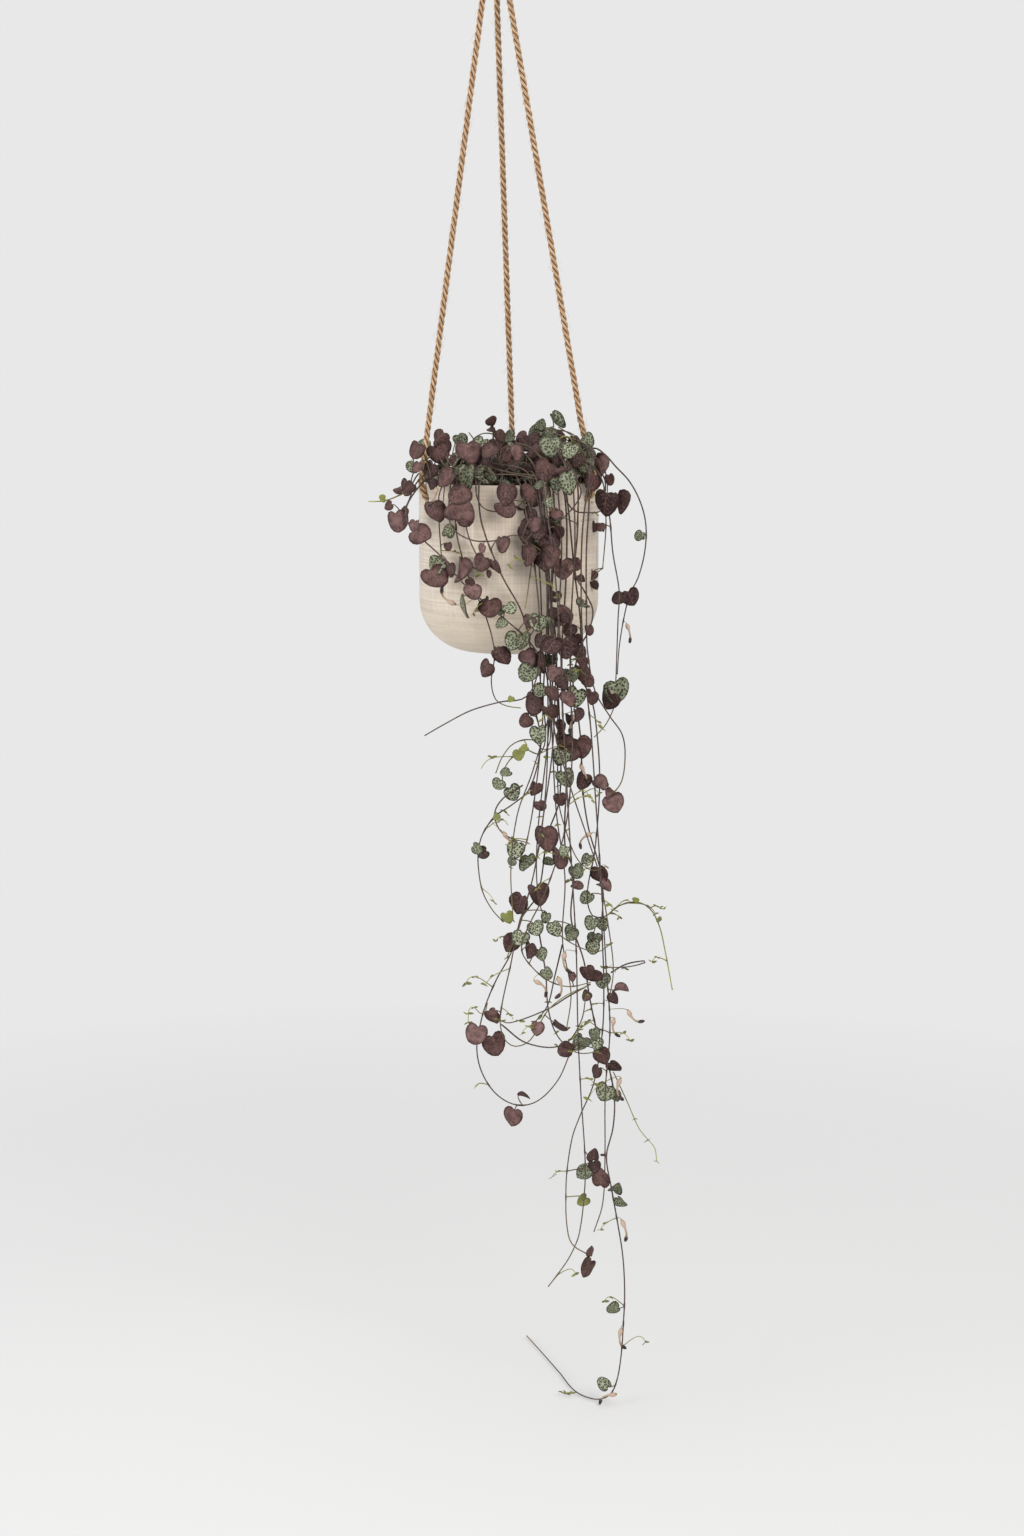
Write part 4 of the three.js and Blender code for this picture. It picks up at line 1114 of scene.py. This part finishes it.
        "brown": [(38, -142, 19, -30, 20), (50, -175, 16, 10, 35), (79, -617, 13, 170, 20), (80, -628, 13, 15, 25)],
        "flowers": [(52, -424, 30)],
        "shoots": 4, "tender": 0.15, "green tip": 0.4,
    },
    "vine_lower_right": {
        "route": [(40, -14, 6), (64, -48, 34), (76, -66, 30), (74, -88, 14), (67, -104, -40), (66, -116, -110),
        (69, -119, -165), (75, -120, -220), (80, -120, -290), (85, -120, -360), (90, -120, -440),
        (94, -120, -500), (90, -120, -560), (90, -120, -630), (88, -120, -670), (80, -120, -697)],
        "purple": [(86, -641, 19, 172, 15), (104, -462, 15, 70, 45)],
        "green": [(80, -505, 13, 20, 25), (76, -400, 14, -20, 30)],
        "brown": [(82, -540, 12, -30, 40), (88, -620, 5, 60, 50), (98, -470, 13, 40, 30)],
        "flowers": [(98, -489, 30), (110, -481, 70)],
        "shoots": 4, "tender": 0.2, "green tip": 0.35,
    },
    "vine_right_parallel": {
        "route": [(46, -38, 0), (64, -50, 18), (76, -58, 18), (86, -64, 4), (89, -66, -11), (93, -68, -30),
        (96, -70, -62), (102, -74, -98), (101, -76, -122), (99, -80, -183), (98, -82, -202), (90, -84, -220),
        (79, -86, -232)],
        "purple": [(85, -39, 9, 20, 20)],
        "green": [(100, -189, 23, 10, 5)],
        "brown": [(89, -17, 25, -10, 15), (103, -16, 22, 20, 50), (93, -197, 20, -30, 30)],
    },
    "vine_right_loop": {
        "route": [(50, -18, 0), (64, -22, 24), (79, -22, 32), (90, -32, 26), (99, -42, 16), (112, -50, 2),
        (122, -54, -17), (127, -57, -38), (126, -59, -62), (120, -60, -86), (113, -61, -100), (108, -62, -118),
        (103, -63, -148), (101, -64, -176)],
        "green": [(120, -47, 11, -40, 35), (124, -48, 6, 40, 30)],
        "brown": [(113, -104, 17, 25, 15), (102, -106, 14, -40, 35)],
        "flowers": [(109, -128, 5)],
        "green tip": 0.2,
    },
    "vine_right_edge": {
        "route": [(56, -4, -8), (70, -12, 12), (82, -18, 14), (90, -23, 2), (90, -27, -14), (91, -30, -40),
        (88, -32, -80)],
        "purple": [(79, -41, 10, -30, 20), (88, -41, 9, 20, 60), (77, -86, 12, -30, 20)],
        "brown": [(80, -95, 10, 30, 30)],
        "shoots": 1,
    },
    "crown_front_left": {
        "route": [(-44, -42, -4), (-54, -56, 20), (-66, -64, 30), (-76, -66, 22)],
        "purple": [(-64, 28, 21, 20, 10), (-84, 31, 17, -20, 25), (-61, 39, 17, 150, 45), (-84, 16, 12, -20, 40)],
        "green": [(-60, 22, 18, -150, 76)],
        "brown": [(-72, 13, 17, -30, 30), (-70, 1, 12, -10, 40)],
    },
    "crown_front": {
        "route": [(-26, -44, -8), (-32, -58, 22), (-40, -70, 26), (-46, -84, 12), (-48, -90, -12)],
        "purple": [(-36, 30, 23, 10, 8), (-56, 6, 21, -60, 40), (-46, -6, 23, -40, 35), (-43, -23, 26, 150, 10)],
        "green": [(-38, 8, 25, 10, 38)],
        "flowers": [(-66, -1, -30)],
    },
    "crown_middle": {
        "route": [(-4, -54, -8), (-8, -72, 14), (-6, -90, 8), (-6, -97, -6), (-5, -98, -18)],
        "purple": [(-18, 31, 19, -30, 40), (-4, 28, 17, 20, 30), (-3, -7, 22, -10, 20), (5, 29, 17, 30, 30)],
    },
    "crown_upright": {
        "route": [(-12, -20, 6), (-14, -22, 32), (-15, -24, 50)],
        "purple": [(-15, 57, 12, 165, 45), (-9, 43, 14, 20, 35)],
        "brown": [(-17, 50, 8, -60, 50)],
    },
    "crown_peak": {
        "route": [(10, -12, 0), (18, -16, 28), (30, -20, 48), (42, -24, 52)],
        "purple": [(12, 40, 14, -60, 30)],
        "green": [(29, 54, 13, 160, 30), (45, 57, 20, 50, 62), (27, 46, 19, -40, 20), (0, 42, 13, -80, 30)],
        "shoots": 1,
    },
    "crown_right_front": {
        "route": [(26, -28, 4), (32, -54, 34), (40, -80, 36), (48, -100, 26), (54, -106, 12)],
        "purple": [(34, 17, 25, -20, 15), (50, 14, 15, 30, 40), (23, 30, 16, -40, 40)],
        "green": [(38, 35, 21, 0, 10), (56, 32, 16, -20, 30), (55, 4, 23, 10, 40)],
        "shoots": 1,
    },
    "crown_right": {
        "route": [(54, -22, 4), (64, -34, 30), (72, -40, 34)],
        "green": [(72, 40, 17, 170, 45), (77, 28, 9, 60, 20), (74, 17, 18, 20, 5), (68, 34, 14, -60, 50)],
        "shoots": 1,
    },
    "crown_right_side": {
        "route": [(54, 12, -6), (68, 10, 18), (82, 4, 22), (92, 0, 6), (93, -2, -22)],
        "purple": [(86, 19, 19, 20, 50), (78, 5, 18, -20, 20), (96, 2, 12, 20, 40)],
    },
    "crown_back_right": {
        "route": [(34, 38, -6), (46, 50, 22), (58, 64, 20), (66, 72, 0), (66, 74, -34)],
        "purple": [(66, 26, 17, 30, 20), (68, -46, 17, 10, 30)],
        "green": [(40, 34, 18, -10, 30), (62, -14, 20, -10, 10), (56, 10, 15, 40, 30), (70, -30, 14, -40, 20)],
        "shoots": 1,
    },
    "crown_back": {
        "route": [(-14, 46, -6), (-20, 64, 20), (-26, 84, 16), (-30, 92, -4), (-31, 92, -48)],
        "purple": [(-28, 32, 17, -30, 30), (-30, -62, 17, 0, 20), (-36, -50, 13, -30, 30)],
        "green": [(-10, 30, 19, 20, 20), (-22, -8, 20, 10, 20), (-40, -26, 18, -20, 30), (-22, -40, 14, 30, 20)],
        "shoots": 1,
    },
    "crown_back_left": {
        "route": [(-40, 26, -6), (-52, 38, 20), (-66, 54, 22), (-76, 62, 2), (-77, 62, -40)],
        "purple": [(-46, 36, 18, 10, 30), (-80, -44, 16, 10, 30)],
        "green": [(-66, 40, 16, -30, 20), (-70, -12, 19, -20, 20), (-72, -32, 14, 30, 30)],
        "shoots": 1,
    },
    "crown_left": {
        "route": [(-50, 6, -8), (-62, 8, 16), (-78, 6, 22), (-91, 4, 6), (-93, 4, -16)],
        "purple": [(-62, 32, 19, 10, 30), (-96, -6, 17, -10, 40)],
        "green": [(-82, 34, 15, -30, 40), (-90, 14, 14, 30, 40)],
        "shoots": 1,
    },
    "crown_centre": {
        "route": [(-24, 4, 6), (-30, 6, 34), (-38, 8, 46)],
        "purple": [(-26, 24, 16, -50, 30), (-16, 20, 18, 40, 40)],
        "green": [(-48, 26, 14, -60, 70), (-24, 10, 17, 20, 50)],
        "brown": [(-8, 14, 18, -20, 30)],
    },
}

for name, vine in vines.items():
    growVine(name, vine)
print("vines grown")

# Bare stems that wander between the others
wanderers = {
    "thick": 0.00078, "thin": 0.00052, "buds": 2,
    "routes": [
        [(22, -88, 6), (29, -102, -12), (34, -108, -50), (37, -112, -95), (40, -113, -150), (41, -113, -216), (55, -113, -269),
         (74, -113, -326), (83, -113, -354), (95, -113, -423), (97, -113, -450), (93, -113, -476)],
        [(26, -84, 8), (31, -99, -10), (35, -104, -50), (38, -106, -95), (43, -105, -140), (45, -104, -215), (46, -104, -288),
         (53, -104, -317), (64, -104, -344), (78, -104, -354), (90, -104, -350)],
        [(18, -86, 6), (26, -100, -10), (32, -106, -50), (36, -109, -95), (35, -109, -140), (36, -109, -216), (34, -109, -278),
         (27, -109, -337), (10, -109, -406), (-2, -109, -436)],
        [(34, -82, 10), (41, -97, -8), (40, -104, -50), (39, -109, -95), (41, -107, -150), (36, -108, -230), (26, -108, -330),
         (29, -108, -386), (43, -108, -410), (64, -108, -425), (83, -108, -430), (93, -108, -424)],
        [(26, -118, -398), (34, -118, -447), (37, -118, -484), (46, -118, -509), (64, -118, -524), (84, -118, -523)],
        [(50, -100, -425), (43, -100, -455), (36, -100, -484), (24, -100, -500)],
        [(76, -112, -460), (55, -112, -472), (36, -112, -484), (1, -112, -497), (-10, -112, -494)],
        [(95, -108, -450), (109, -108, -442), (126, -107, -439), (127, -105, -441), (112, -105, -445), (88, -105, -446)],
        [(-7, -110, -499), (17, -110, -517), (50, -110, -519), (67, -110, -497), (72, -110, -470)],
        [(13, -104, -274), (-5, -104, -286), (-13, -104, -300), (-9, -104, -315), (1, -104, -323), (18, -104, -328)],
        [(-30, -84, 6), (-29, -92, -10), (-24, -94, -19), (-14, -94, -23), (4, -95, -20), (16, -98, -13)],
        [(48, -92, 6), (52, -98, -12), (60, -99, -22), (72, -92, -24), (84, -70, -24), (90, -62, -16)],
        [(60, -80, 10), (66, -90, -6), (58, -98, -20), (44, -103, -34), (32, -108, -52)],
        [(8, -86, 6), (16, -99, -10), (29, -105, -50), (35, -107, -92), (37, -107, -150), (40, -106, -230), (44, -106, -300),
         (52, -106, -360), (50, -106, -420), (58, -106, -470), (54, -106, -505)],
        [(34, -92, 6), (37, -101, -10), (37, -106, -50), (37, -110, -95), (41, -109, -130), (38, -110, -200), (22, -110, -260),
         (8, -110, -300), (2, -110, -350), (4, -110, -400)],
    ],
}


# Thin stems that cross the front of the crown
crossings = [
    [(-48, -70, 12), (-24, -82, 17), (2, -90, 12), (30, -92, 7), (44, -88, -8)],
    [(-44, -74, 8), (-18, -88, 10), (8, -93, 10), (34, -92, 4), (52, -84, 2)],
    [(-40, -60, 22), (-10, -74, 19), (16, -84, 13), (22, -95, -6), (20, -100, -24)],
    [(-10, -22, 44), (-22, -26, 46), (-31, -32, 42), (-30, -40, 35), (-16, -46, 34)],
    [(-2, -60, 36), (12, -76, 31), (24, -90, 16), (27, -98, -8), (30, -103, -26)],
    [(6, -56, 38), (20, -74, 34), (32, -90, 20), (34, -99, -4), (35, -104, -30)],
    [(14, -60, 34), (30, -82, 26), (40, -92, 12), (40, -99, -6), (38, -105, -34)],
    [(40, -36, 50), (56, -42, 47), (68, -50, 38), (76, -58, 24)],
    [(42, -44, 46), (58, -50, 41), (68, -58, 31), (72, -64, 20)],
    [(46, -40, 52), (60, -46, 43), (66, -56, 34), (69, -66, 22)],
    [(40, -54, 42), (52, -62, 36), (62, -68, 26), (66, -78, 12)],
    [(48, -50, 44), (64, -52, 40), (74, -54, 34), (80, -58, 28)],
    [(36, -62, 36), (50, -72, 26), (58, -80, 14), (56, -88, -6)],
    [(-60, -66, 30), (-54, -76, 20), (-46, -88, 12), (-42, -94, -10), (-44, -96, -30)],
    [(-56, -62, 34), (-56, -74, 20), (-58, -82, 6), (-60, -84, -16)],
]
bm, _ = newPlantMesh()
for i, route in enumerate(crossings):
    line = smoothLine([rim + Vector(point) * mm for point in route], growth["stemStep"])
    addStem(bm, line, 0.0006 + 0.0001 * (i % 3), 0.0005, lambda part: 0.08 + 0.1 * part)
finishPiece("crossing_stems", bm, vineFinishes)

# Sprigs that come over the rim beside the ropes and between the longer vines
fringe = [
    {"route": [(60, -46, 12), (72, -50, 24), (80, -53, 14), (84, -55, 2)],
     "purple": [(85, 17, 18, 20, 40), (77, 2, 18, -20, 10), (66, 22, 12, -40, 30)],
     "green": [(72, 17, 17, 10, 0), (73, 28, 9, 40, 20), (62, 10, 13, -20, 20)]},
    {"route": [(28, -60, 8), (34, -78, 18), (36, -90, 8), (35, -96, -8)],
     "purple": [(33, 13, 22, -30, 5)], "green": [(44, 2, 14, 20, 50), (28, 2, 12, -30, 50)], "brown": [(20, 12, 16, 30, 20)]},
    {"route": [(46, -50, 8), (54, -66, 22), (56, -76, 10), (55, -80, -6)],
     "green": [(54, 33, 13, -10, 20), (49, 12, 17, 10, 40)], "brown": [(60, 22, 15, 10, 30), (44, 24, 15, -20, 20)]},
    {"route": [(16, -20, 10), (22, -22, 34), (34, -24, 44), (50, -26, 42), (62, -28, 34)],
     "brown": [(16, 36, 16, 30, 20), (25, 40, 15, -40, 10), (48, 41, 16, 60, 30), (62, 38, 13, 20, 40)],
     "green": [(40, 45, 14, 120, 20), (56, 30, 15, -20, 20), (33, 33, 15, 30, 40)]},
    {"route": [(-18, -50, 8), (-20, -68, 20), (-18, -84, 10)],
     "brown": [(-22, 22, 17, 20, 30), (-10, 16, 16, -30, 20)], "green": [(-16, 10, 15, 60, 50), (-28, 14, 13, -40, 60)]},
]
bm, _ = newPlantMesh()
chance = random.Random("fringe")
for sprig in fringe:
    addVine(bm, sprig, chance)
finishPiece("rim_sprigs", bm, vineFinishes)

bm, _ = newPlantMesh()
chance = random.Random("wanderers")
for route in wanderers["routes"]:
    line = smoothLine([rim + Vector(point) * mm for point in route], growth["stemStep"])
    addStem(bm, line, wanderers["thick"], wanderers["thin"], lambda part: max(0, part - 0.75) * 2)
    for _ in range(wanderers["buds"]):
        addBud(bm, chance.choice(line[len(line) // 2:]), chance)
    addBud(bm, line[-1], chance)
finishPiece("wandering_stems", bm, vineFinishes)

# Thin old stems heaped over the crown
tangle = {"stems": 74, "middle": (0.022, -0.012), "spread": 0.034, "reach": (0.025, 0.06), "rise": (0.010, 0.034),
          "thick": (0.0005, 0.0008)}
bm, _ = newPlantMesh()
chance = random.Random("tangle")
for _ in range(tangle["stems"]):
    angle = chance.uniform(0, 2 * math.pi)
    start = Vector((chance.gauss(tangle["middle"][0], tangle["spread"]), chance.gauss(tangle["middle"][1], tangle["spread"]), 0))
    start.xy = Vector(start.xy) * min(1, 0.062 / max(0.001, Vector(start.xy).length))
    run = Vector((math.cos(angle), math.sin(angle), 0)) * chance.uniform(*tangle["reach"])
    end = start + run
    end.xy = Vector(end.xy) * min(1, 0.073 / max(0.001, Vector(end.xy).length))
    run = end - start
    rise = chance.uniform(*tangle["rise"])
    start.z, end.z = growth["soil"] * mm, chance.uniform(-0.012, 0.012)
    side = Vector((-run.y, run.x, 0)) * chance.uniform(-0.4, 0.4)
    peak = start + run * 0.4 + side + Vector((0, 0, rise - start.z))
    line = smoothLine([rim + point for point in (start, start.lerp(peak, 0.5) - run * 0.1, peak, end + (peak - end) * 0.4
                                                 + run * 0.1, end)], growth["stemStep"])
    addStem(bm, line, chance.uniform(*tangle["thick"]), 0.00048, lambda part: 0.1 * part)
finishPiece("tangled_stems", bm, vineFinishes)

# Leaves between the sprigs, low over the soil and round the back
undergrowth = {"leaves": 280, "reach": 0.076, "low": -0.024, "high": 0.034, "sizes": (0.011, 0.020)}
bm, _ = newPlantMesh()
chance = random.Random("undergrowth")
for i in range(undergrowth["leaves"]):
    angle = chance.uniform(0, 2 * math.pi)
    out = undergrowth["reach"] * math.sqrt(chance.random())
    outward = Vector((math.cos(angle), math.sin(angle), 0))
    foot = rim + outward * out * 0.85 + Vector((0, 0, growth["soil"] * mm))
    dome = 1 - (out / undergrowth["reach"]) ** 2
    height = chance.uniform(undergrowth["low"], undergrowth["high"] * (0.35 + 0.65 * dome))
    head = rim + outward * out + Vector((0, 0, height))
    bend = interpolate_bezier(foot, foot + Vector((0, 0, 0.008)), head - outward * 0.006, head, 6)
    addStem(bm, bend, 0.0005, 0.0004, lambda part: 0.1 * part)
    size = chance.uniform(*undergrowth["sizes"])
    facing = (outward * chance.uniform(0.1, 1) + Vector((chance.uniform(-0.6, 0.6), chance.uniform(-0.6, 0.6),
                                                       chance.uniform(0.1, 1.2)))).normalized()
    turn = facing.to_track_quat("Z", "Y") @ Quaternion((0, 0, 1), chance.uniform(0, 6.3))
    flip = Matrix.Rotation(math.pi if chance.random() < 0.35 else 0, 4, "Y")
    shape = chance.choice(leafShapes).copy()
    place = Matrix.LocRotScale(head, turn, None) @ flip @ Matrix.Scale(size, 4) @ Matrix.Translation((0, -0.17, 0))
    shape.transform(place)
    setAttribute(shape, "youth", chance.uniform(0, 0.2))
    setAttribute(shape, "blushAndShade", chance.uniform(0, 1))
    pour(bm, shape)
finishPiece("undergrowth", bm, vineFinishes)
for shape in (*leafShapes, *flowerShapes):
    bpy.data.meshes.remove(shape)
print("undergrowth grown")


# Floor, light and surroundings
studio = {
    "floorRadius": 2.6, "surround": "E8E8E8", "surroundStrength": 1.0, "roomStrength": 0.5,
    "key": {"place": (1.15, -2.1, 1.0), "size": 1.7, "power": 50, "colour": (1, 0.98, 0.95)},
    "fill": {"place": (-2.1, -1.2, 0.1), "size": 1.6, "power": 36, "colour": (0.98, 0.99, 1)},
    "top": {"place": (-0.2, 0.2, 1.9), "size": 1.4, "power": 13, "colour": (1, 1, 1)},
}


def addLight(name, place, size, power, colour):
    data = bpy.data.lights.new(name, "AREA")
    data.shape = "DISK"
    data.size = size
    data.energy = power
    data.color = colour
    light = bpy.data.objects.new(name, data)
    light.location = rim + Vector(place)
    aim = rim + Vector((0, 0, -0.2)) - light.location
    light.rotation_euler = aim.to_track_quat("-Z", "Y").to_euler()
    scene.collection.objects.link(light)


for name in ("key", "fill", "top"):
    addLight(name, **studio[name])
world = bpy.data.worlds.new("studio")
world.use_nodes = True
backdrop = world.node_tree.nodes["Background"]
backdrop.inputs["Color"].default_value = linear(studio["surround"])
backdrop.inputs["Strength"].default_value = studio["surroundStrength"]
room = world.node_tree.nodes.new("ShaderNodeBackground")
room.inputs["Color"].default_value = linear(studio["surround"])
room.inputs["Strength"].default_value = studio["roomStrength"]
seen = world.node_tree.nodes.new("ShaderNodeLightPath")
either = world.node_tree.nodes.new("ShaderNodeMixShader")
for end, start in ((0, seen.outputs["Is Camera Ray"]), (1, room.outputs[0]), (2, backdrop.outputs[0])):
    world.node_tree.links.new(either.inputs[end], start)
world.node_tree.links.new(world.node_tree.nodes["World Output"].inputs["Surface"], either.outputs[0])
scene.world = world

floorFinish = Finish("floorPaper", 0.95, Specular_IOR_Level=0.1)
floorFinish.colour(linear("EAEAEA"))
floorPlace = floorFinish.objectCoords()
fromMiddle = floorFinish.node("VectorMath", {0: floorPlace, 1: (1, 1, 0)}, operation="MULTIPLY").outputs[0]
reach = floorFinish.node("VectorMath", {0: fromMiddle}, operation="LENGTH").outputs["Value"]
floorFinish.feed(floorFinish.shader.inputs["Alpha"], floorFinish.spread(reach, 0.3, 1.5, 0.65, 0))
bm = bmesh.new()
bmesh.ops.create_circle(bm, cap_ends=True, segments=96, radius=studio["floorRadius"],
                        matrix=Matrix.Translation((0, 0, floorHeight - 0.0004)))
mesh = bpy.data.meshes.new("floor")
bm.to_mesh(mesh)
bm.free()
mesh.materials.append(floorFinish.material)
floor = bpy.data.objects.new("floor", mesh)
scene.collection.objects.link(floor)
scene.view_settings.view_transform = "Standard"
print("studio lit")
